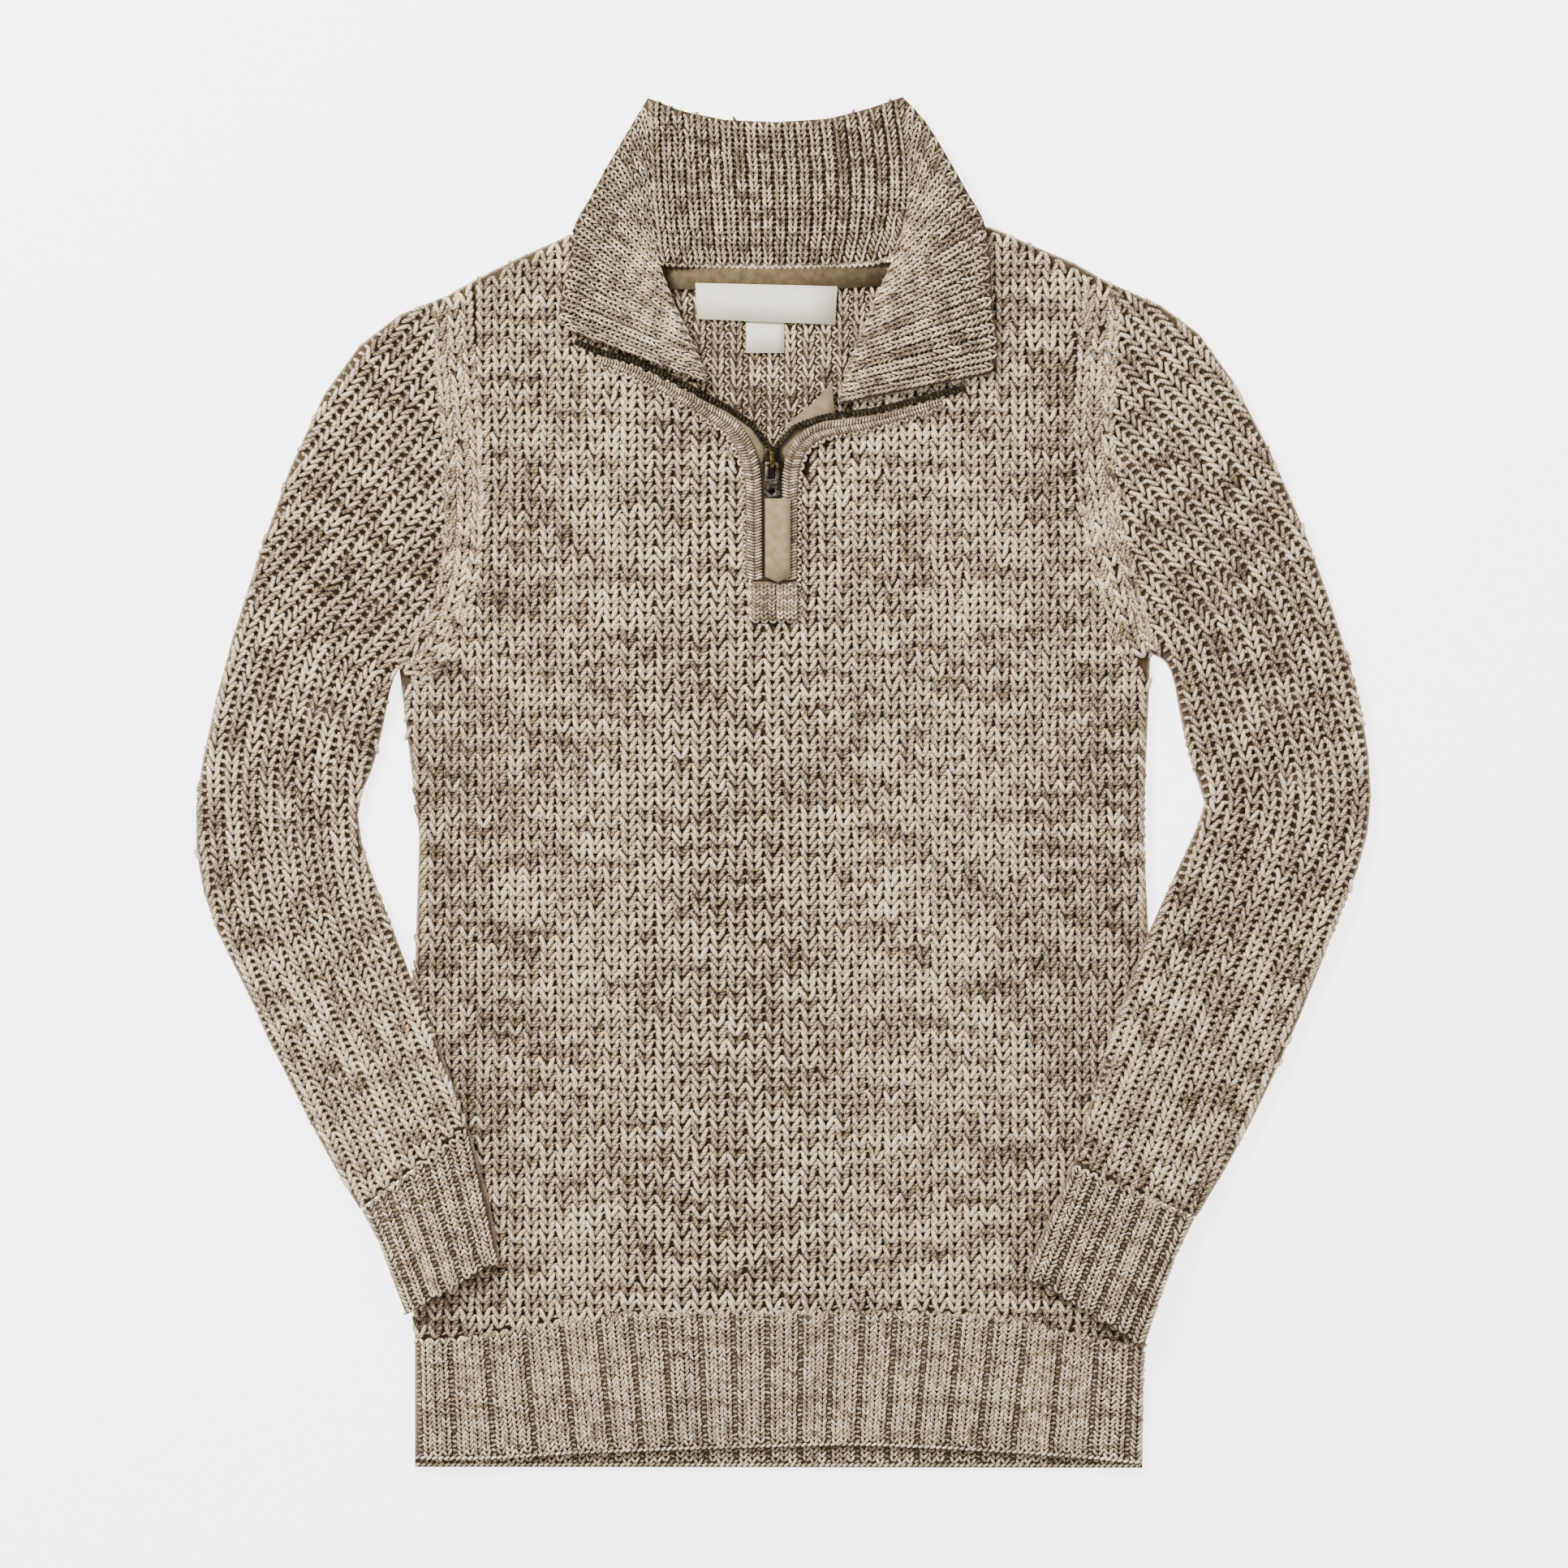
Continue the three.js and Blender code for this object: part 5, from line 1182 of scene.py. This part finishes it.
@dataclass
class Placket:
    """The bands, tapes and stitched ends beside the zip."""

    bands: dict[Side, Rows]  # rows of middle x, middle y, width
    row: float = 1.35 * MM

    def build(self) -> list[bpy.types.Object]:
        """Makes the bands and tapes."""
        made = []
        for side in Side:
            name = side.name.lower()
            node = "placket_band_" + name
            relief = Relief(node, soften=1.2, edge=0.8)
            band = shell(node, node + "_cloth", relief, 0.5 * MM, BAND_CLOTH, Slot.BAND)
            rows = np.array(self.bands[side])
            line = Guide(places(rows[:, :2]))
            reach = np.arange(1 * MM, line.length, self.row)
            at, along = line.at(reach)
            share = np.linspace(0, line.length, len(rows))
            width = np.interp(reach, share, rows[:, 2]) * MM
            yarns = Yarns(node + "_rows")
            for hand in (-1, 1):
                middle = at + right_of(along) * (hand * width * 0.24)[:, None]
                lean = unit(right_of(along) + along * hand * 0.35)
                Bar(lift=(-0.9, -0.1, 0.3, -0.1, -0.9)).lay(
                    yarns, relief, middle, lean, width * 0.52, 1.15 * MM, marl(at, 300 + hand, self.row) - 0.35)
            self.end(side, yarns)
            away = np.interp(line.reach, share, rows[:, 2]) * MM / 2 + 0.8 * MM
            border = line.beside(side.value * away)
            front = Relief("front")
            Seam(1.9 * MM, 2.8 * MM, 1.4 * MM, 0.9 * MM).lay(yarns, border, relief, front, 330)
            corner = {Side.LEFT: ((-14.3, 90), (-14.3, 72.2), (-3.4, 72.0)),
                      Side.RIGHT: ((7.0, 90), (7.0, 72.2), (-3.4, 72.0))}
            Seam(1.9 * MM, 2.8 * MM, 1.4 * MM, 0.9 * MM).lay(
                yarns, Guide(places(corner[side]), smooth=False), relief, front, 340)
            stitches = yarns.piece(FINE_YARN, Slot.BAND)
            end = shell("band_end_" + name, f"band_end_{name}_cloth", None, 0, BAND_CLOTH, Slot.BAND)
            tape = shell("zip_tape_" + name, f"zip_tape_{name}_cloth", None, 0, TAPE_CLOTH, Slot.TAPE)
            made += [band, stitches, end, tape]
        return made

    def end(self, side: Side, yarns: Yarns) -> None:
        """Lays the rows of stitches on the stitched end under one band, each side in its own knit."""
        relief = Relief("band_end_" + side.name.lower(), soften=1.2, edge=0.8)
        columns, pitch = ((-11.9, -8.5, -5.0), 3.5) if side is Side.LEFT else ((-1.4, 1.8, 4.8), 3.1)
        for number, x in enumerate(columns):
            at = places([(x, y) for y in np.arange(73.2, 88.6, 1.75)])
            up = np.broadcast_to((0.0, 1.0), at.shape)
            tone = marl(at, 320 + number, 1.75 * MM) + (-0.6 if side is Side.LEFT else 0.0)
            Chevron(lift=(-0.5, 0.1, 0.4, 0.1, -0.6), along=(-0.3, -0.1, 0.3, 0.7, 0.9)).lay(
                yarns, relief, at, up, pitch * MM, 1.75 * MM, 1.15 * MM, tone, -0.4 * MM)


@dataclass
class NeckLabels:
    """The tape along the neck seam and the two bare labels that hang on it."""

    def build(self) -> list[bpy.types.Object]:
        """Makes the tape and the labels."""
        tape = shell("neck_tape", "neck_tape_cloth", None, 0, NECK_CLOTH, Slot.TAPE)
        middle = np.mean([vertex.co for vertex in tape.data.vertices], axis=0)
        for vertex in tape.data.vertices:
            vertex.co.y += 2.4 * MM if vertex.co.y > middle[1] else 0
            vertex.co.x += (vertex.co.x - middle[0]) * 0.2
        main = shell("label_main", "label_main_cloth", None, 0, LABEL, Slot.LABEL)
        size = shell("label_size", "label_size_cloth", None, 0, LABEL, Slot.LABEL)
        return [tape, main, size]


def clear() -> None:
    """Leaves nothing selected, as the next tool acts on all that is."""
    if bpy.context.mode != "OBJECT":
        bpy.ops.object.mode_set(mode="OBJECT")
    bpy.ops.object.select_all(action="DESELECT")


def block(name: str, middle: Sequence[float], size: Sequence[float]) -> bpy.types.Object:
    """Adds a box to shape further.

    Args:
        name: Its name.
        middle: Its middle in metres.
        size: Its size in metres.

    Returns:
        The object, selected, with its place in its mesh.
    """
    clear()
    bpy.ops.mesh.primitive_cube_add(size=1, location=middle)
    made = bpy.context.object
    made.name = made.data.name = name
    made.scale = size
    bpy.ops.object.transform_apply(location=True, rotation=True, scale=True)
    return made


def pick(made: bpy.types.Object, axis: int, far: bool) -> None:
    """Selects the outermost faces of a mesh in edit mode, seen along one axis."""
    bpy.ops.object.mode_set(mode="EDIT")
    bpy.ops.mesh.select_mode(type="FACE")
    bpy.ops.mesh.select_all(action="DESELECT")
    work = bmesh.from_edit_mesh(made.data)
    middles = [face.calc_center_median()[axis] for face in work.faces]
    limit = max(middles) if far else min(middles)
    for face, middle in zip(work.faces, middles):
        face.select_set(abs(middle - limit) < 0.02 * MM)
    bmesh.update_edit_mesh(made.data)


def join(parts: Sequence[bpy.types.Object], rounding: float) -> bpy.types.Object:
    """Makes one piece of several and rounds its edges.

    Args:
        parts: The objects, the first of which gives the name.
        rounding: How wide its edges are rounded, in metres.

    Returns:
        The piece.
    """
    clear()
    for part in parts:
        part.select_set(True)
    bpy.context.view_layer.objects.active = parts[0]
    if len(parts) > 1:
        bpy.ops.object.join()
    edge = parts[0].modifiers.new("edge", "BEVEL")
    edge.width, edge.segments, edge.limit_method = rounding, 2, "ANGLE"
    bpy.ops.object.modifier_apply(modifier=edge.name)
    bpy.ops.object.shade_smooth_by_angle(angle=math.radians(40))
    clear()
    return parts[0]


@dataclass
class Zip:
    """The teeth, the slider with its pull link, and the twill tab on it."""

    rows: dict[Side, Rows] = field(default_factory=lambda: {
        Side.LEFT: ((-6.6, 91), (-6.6, 140), (-7.6, 150), (-13.5, 158.5), (-24, 166), (-34, 171.5), (-48, 179),
                    (-65, 187), (-82, 191.5), (-92.5, 196)),
        Side.RIGHT: ((-3.4, 91), (-3.4, 140), (-2.2, 150), (5, 157.5), (15.5, 161.5), (25.5, 163.5), (39.5, 165),
                     (53.5, 168.5), (67, 172), (81, 175.5)),
    })
    pitch: float = 1.75 * MM
    low: float = 7.3 * MM

    def build(self) -> list[bpy.types.Object]:
        """Dresses the zip."""
        made = [self.teeth(side) for side in Side] + [*self.slider(), self.link()]
        tab = shell("zip_pull_tab", "pull_tab_cloth", None, 0, TWILL, Slot.TWILL, body="pull")
        return made + [tab]

    def slider(self) -> list[bpy.types.Object]:
        """Models the slider: two plates, the neck between them, and the brass bridge that holds the pull link."""
        x, y = places([(-5, 141.5)])[0]
        parts = []
        for low, high in ((4.5, 5.6), (9.7, 10.8)):
            plate = block("zip_slider_body", (x, y, (low + high) / 2 * MM), (9.4 * MM, 14 * MM, (high - low) * MM))
            bpy.ops.object.mode_set(mode="EDIT")
            bpy.ops.mesh.subdivide(number_cuts=1)
            for far, share in ((False, 0.72), (True, 0.66)):
                pick(plate, 1, far)
                bpy.ops.transform.resize(value=(share, 1, 1), center_override=(x, y, 0))
            bpy.ops.object.mode_set(mode="OBJECT")
            parts.append(plate)
        for hand in (-1, 1):
            parts.append(block("rail", (x + hand * 3.3 * MM, y - 5.2 * MM, 9.3 * MM), (0.7 * MM, 3.2 * MM, 1.2 * MM)))
        parts.append(block("neck", (x, y + 4.6 * MM, 7.6 * MM), (2.0 * MM, 3.2 * MM, 4.4 * MM)))
        body = join(parts, 0.3 * MM)
        bar = block("zip_bridge", (x, y + 1.8 * MM, 13.5 * MM), (2.4 * MM, 8.2 * MM, 1.2 * MM))
        pick(bar, 2, True)
        bpy.ops.transform.resize(value=(0.75, 0.8, 1), center_override=(x, y + 1.8 * MM, 0))
        bpy.ops.object.mode_set(mode="OBJECT")
        posts = [block("post", (x, y + (1.8 + hand * 3.45) * MM, 11.8 * MM), (2.4 * MM, 1.3 * MM, 2.6 * MM))
                 for hand in (-1, 1)]
        bridge = join([bar, *posts], 0.35 * MM)
        for piece, finish in ((body, METAL), (bridge, BRASS)):
            piece.data.materials.append(finish.material())
            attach(piece, "garment")
            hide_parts("zip_slider")
        return [body, bridge]

    def link(self) -> bpy.types.Object:
        """Models the pull link: a tapered plate with a window for the bridge and a round hole for the tab."""
        x, y = places([(-5, 134.3)])[0]
        link = block("zip_pull_link_modelled", (x, y, 11.9 * MM), (7.2 * MM, 15.8 * MM, 1.2 * MM))
        pick(link, 1, True)
        bpy.ops.transform.resize(value=(0.8, 1, 1), center_override=(x, y, 0))
        bpy.ops.object.mode_set(mode="OBJECT")
        window = block("window", (x, y + 3.6 * MM, 11.9 * MM), (3.1 * MM, 6.2 * MM, 4 * MM))
        clear()
        bpy.ops.mesh.primitive_cylinder_add(vertices=24, radius=1.5 * MM, depth=4 * MM,
                                            location=(x, y - 5.0 * MM, 11.9 * MM))
        for tool in (window, bpy.context.object):
            clear()
            bpy.context.view_layer.objects.active = link
            link.select_set(True)
            cut = link.modifiers.new("cut", "BOOLEAN")
            cut.object, cut.operation, cut.solver = tool, "DIFFERENCE", "EXACT"
            bpy.ops.object.modifier_apply(modifier=cut.name)
            bpy.data.objects.remove(tool)
        link = join([link], 0.22 * MM)
        link.data.materials.clear()
        link.data.materials.append(LINK_METAL.material())
        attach(link, "pull")
        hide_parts("zip_pull_link")
        return link

    def tooth(self) -> bpy.types.Object:
        """Models one tooth: a clamp on the cord, a neck and a rounded head."""
        tooth = block("tooth", (-0.5 * MM, 0, 0), (1.5 * MM, 1.15 * MM, 1.7 * MM))
        pick(tooth, 0, True)
        bpy.ops.mesh.inset(thickness=0.2 * MM)
        bpy.ops.mesh.extrude_region_move(TRANSFORM_OT_translate={"value": (0.6 * MM, 0, 0)})
        bpy.ops.mesh.extrude_region_move(TRANSFORM_OT_translate={"value": (0.6 * MM, 0, 0)})
        bpy.ops.transform.resize(value=(1, 1.25, 1.1))
        bpy.ops.mesh.select_all(action="SELECT")
        bpy.ops.mesh.bevel(offset=0.12 * MM, segments=1)
        bpy.ops.mesh.normals_make_consistent(inside=False)
        bpy.ops.object.mode_set(mode="OBJECT")
        return tooth

    def teeth(self, side: Side) -> bpy.types.Object:
        """Copies the tooth along one side of the zip, and lays the cord that carries it."""
        name = side.name.lower()
        tooth = self.tooth()
        shape = np.array([vertex.co for vertex in tooth.data.vertices])
        faces = [tuple(face.vertices) for face in tooth.data.polygons]
        bpy.data.objects.remove(tooth)
        line = Guide(places(self.rows[side]))
        at, along = line.at(np.arange(0.8 * MM, line.length - 0.5 * MM, self.pitch))
        inwards = right_of(along) * -side.value
        spots, cells = [], []
        for number, (spot, way, into) in enumerate(zip(at, along, inwards)):
            turned = spot + shape[:, :1] * into + shape[:, 1:2] * way
            spots.append(np.concatenate([turned, shape[:, 2:] + self.low + 1.05 * MM], 1))
            order = 1 if side is Side.LEFT else -1
            cells += [tuple(corner + number * len(shape) for corner in face[::order]) for face in faces]
        mesh = bpy.data.meshes.new(f"zip_teeth_{name}_modelled")
        mesh.from_pydata(np.concatenate(spots).tolist(), [], cells)
        mesh.materials.append(TOOTH_METAL.material())
        row = bpy.data.objects.new(mesh.name, mesh)
        bpy.context.scene.collection.objects.link(row)
        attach(row, "garment")
        cord = shell("zip_teeth_" + name, f"zip_cord_{name}", None, 0, CORD, Slot.METAL)
        top = max(vertex.co.z for vertex in cord.data.vertices)
        for vertex in cord.data.vertices:
            if vertex.co.z > top - 0.8 * MM:
                vertex.co.z -= 1.1 * MM
        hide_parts("zip_teeth_" + name)
        log.info("%s: %d teeth", row.name, len(at))
        return row


@dataclass
class Studio:
    """The floor, the soft light from the upper left and the camera straight above."""

    reach: float = 0.6955  # metres across the picture
    lens: float = 200.0
    centre: tuple[float, float] = (0.0002, -0.0006)

    def build(self) -> None:
        """Makes the floor, the lamps and the camera."""
        bpy.ops.object.select_all(action="DESELECT")
        bpy.ops.mesh.primitive_plane_add(size=8, location=(0, 0, -0.0001))
        floor = bpy.context.object
        floor.name = "floor"
        bpy.ops.object.transform_apply(location=True, rotation=True, scale=True)
        floor.data.materials.append(PaleFloor().material())
        world = bpy.data.worlds.new("studio")
        bpy.context.scene.world = world
        world.use_nodes = True
        world.node_tree.nodes["Background"].inputs["Color"].default_value = (1.0, 1.0, 1.0, 1.0)
        world.node_tree.nodes["Background"].inputs["Strength"].default_value = 0.75
        self.lamp("key", (-1.0, 1.2, 1.5), 0.6, 82.0)
        self.lamp("fill", (1.4, -0.4, 1.6), 1.6, 9.0)
        camera = bpy.data.objects.new("camera", bpy.data.cameras.new("camera"))
        bpy.context.scene.collection.objects.link(camera)
        camera.data.lens = self.lens
        camera.data.clip_end = 20
        distance = self.reach * self.lens / camera.data.sensor_width
        camera.location = (*self.centre, distance + 0.006)
        bpy.context.scene.camera = camera

    def lamp(self, name: str, place: tuple[float, float, float], size: float, power: float) -> None:
        """Adds one soft lamp that shines on the garment's middle."""
        light = bpy.data.lights.new(name, "AREA")
        light.size, light.energy = size, power
        lamp = bpy.data.objects.new(name, light)
        bpy.context.scene.collection.objects.link(lamp)
        lamp.location = place
        away = math.atan2(math.hypot(place[0], place[1]), place[2])
        lamp.rotation_euler = (away, 0, math.atan2(place[1], place[0]) + math.pi / 2)


SLEEVES = (
    Sleeve(Side.LEFT, middle=((-66.2, 218.4), (-113.4, 163.8), (-136.8, 136.8), (-160.6, 109.4),
                              (-189, 76.7), (-207.7, 55.1), (-220.7, 4.7), (-215.3, -55.8), (-196.6, -99.4), (-163.8, -171), (-151.2, -198)),
           cut=(0.168, 0.400), area=0.0572,
           folds=((-184, 22, -226, 36, 5, 1.5), (-186, 4, -240, 0, 6, 1.7), (-187, -14, -228, -36, 5, 1.3),
                  (-178, -70, -208, -88, 6, 1.0), (-118, 112, -152, 152, 8, 1.0), (-170, 60, -196, 92, 7, 0.9),
                  (-176, -110, -196, -140, 6, 0.8))),
    Sleeve(Side.RIGHT, middle=((72, 230), (117, 176.4), (138.6, 151.2), (171, 115.2), (202.3, 77),
                               (216.4, 29.9), (223.6, -9), (211.7, -45), (190.4, -96.5), (155.5, -180.4), (144, -207)),
           cut=(0.172, 0.415), area=0.0616,
           folds=((190, 30, 232, 42, 5, 1.4), (194, 8, 248, 6, 6, 1.7), (192, -12, 236, -32, 5, 1.4),
                  (178, -78, 208, -94, 6, 1.0), (124, 122, 158, 160, 8, 1.0), (172, 66, 202, 100, 7, 0.9),
                  (160, -124, 186, -150, 6, 0.8))),
)
CUFFS = (
    CuffRib("cuff_left", side=Side.LEFT, outer=((-187, -189.6), (-167, -235.5)),
            inner=((-139.2, -153.2), (-125.5, -211.5))),
    CuffRib("cuff_right", side=Side.RIGHT, outer=((182.6, -193.2), (160, -249.5)),
            inner=((127.6, -169.2), (107, -218)), cut=(0.12, 0.06)),
)
COLLAR = StandCollar(
    leaves={
        Side.LEFT: ((-60, 304, -60, 304), (-59.5, 285, -66.5, 293), (-58.8, 266, -77, 275), (-57.5, 247, -86, 258.5),
                    (-54.5, 230.6, -92.5, 247), (-50, 217.5, -94, 234), (-46, 208.5, -96.5, 224),
                    (-42.5, 200.5, -98.5, 216), (-39.5, 194, -99.5, 210), (-37, 188, -99, 206), (-35, 183, -97, 203),
                    (-33, 177, -95, 201)),
        Side.RIGHT: ((53, 304.5, 53, 304.5), (56, 286, 63, 293.5), (57.8, 268, 73, 277), (56, 250, 82, 261),
                     (50, 235, 88.5, 250), (44.5, 223.5, 91, 238), (40.5, 214.5, 92, 227), (37, 206, 92.5, 216),
                     (33.5, 198, 93.5, 206), (30.5, 190, 95, 197), (27.5, 181.5, 95, 189), (24.5, 168, 92, 181.5)),
    },
    back_top=((-60, 304), (-45.5, 298.5), (-26, 294.5), (-3, 293.5), (20, 295), (38, 299.5), (53, 304.5)),
    back_seam=((-54.5, 230.6), (-41.5, 229.8), (-3, 229.3), (38, 230.5), (50, 235)),
)
PLACKET = Placket(bands={
    Side.LEFT: ((-12.6, 90, 7.2), (-12.8, 117, 7.2), (-13.4, 137, 7.4), (-17, 149, 7.6), (-22.5, 157.5, 7.6),
                (-31.5, 164, 6.8), (-42.5, 170.3, 5.8), (-56.2, 177.6, 4.8), (-70, 184, 4), (-82, 187.8, 3)),
    Side.RIGHT: ((2.4, 90, 7.6), (2.6, 120, 7.6), (2.9, 136, 7.8), (5.8, 147, 7.8), (11.5, 153.6, 7.6),
                 (19, 157, 7.4), (29.2, 158.6, 6.2), (42.2, 160.9, 5), (56.3, 164.7, 4), (70.2, 169.1, 2.8)),
})


def main() -> None:
    """Builds the whole garment and its studio."""
    logging.basicConfig(level=logging.INFO, format="%(message)s")
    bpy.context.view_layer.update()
    for assembly in (BodyPanels(), *SLEEVES, HemRibs(), *CUFFS, COLLAR, PLACKET, NeckLabels(), Zip()):
        pieces = assembly.build()
        log.info("%s: %s", type(assembly).__name__, ", ".join(piece.name for piece in pieces))
    Studio().build()
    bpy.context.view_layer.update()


if __name__ == "__main__":
    main()
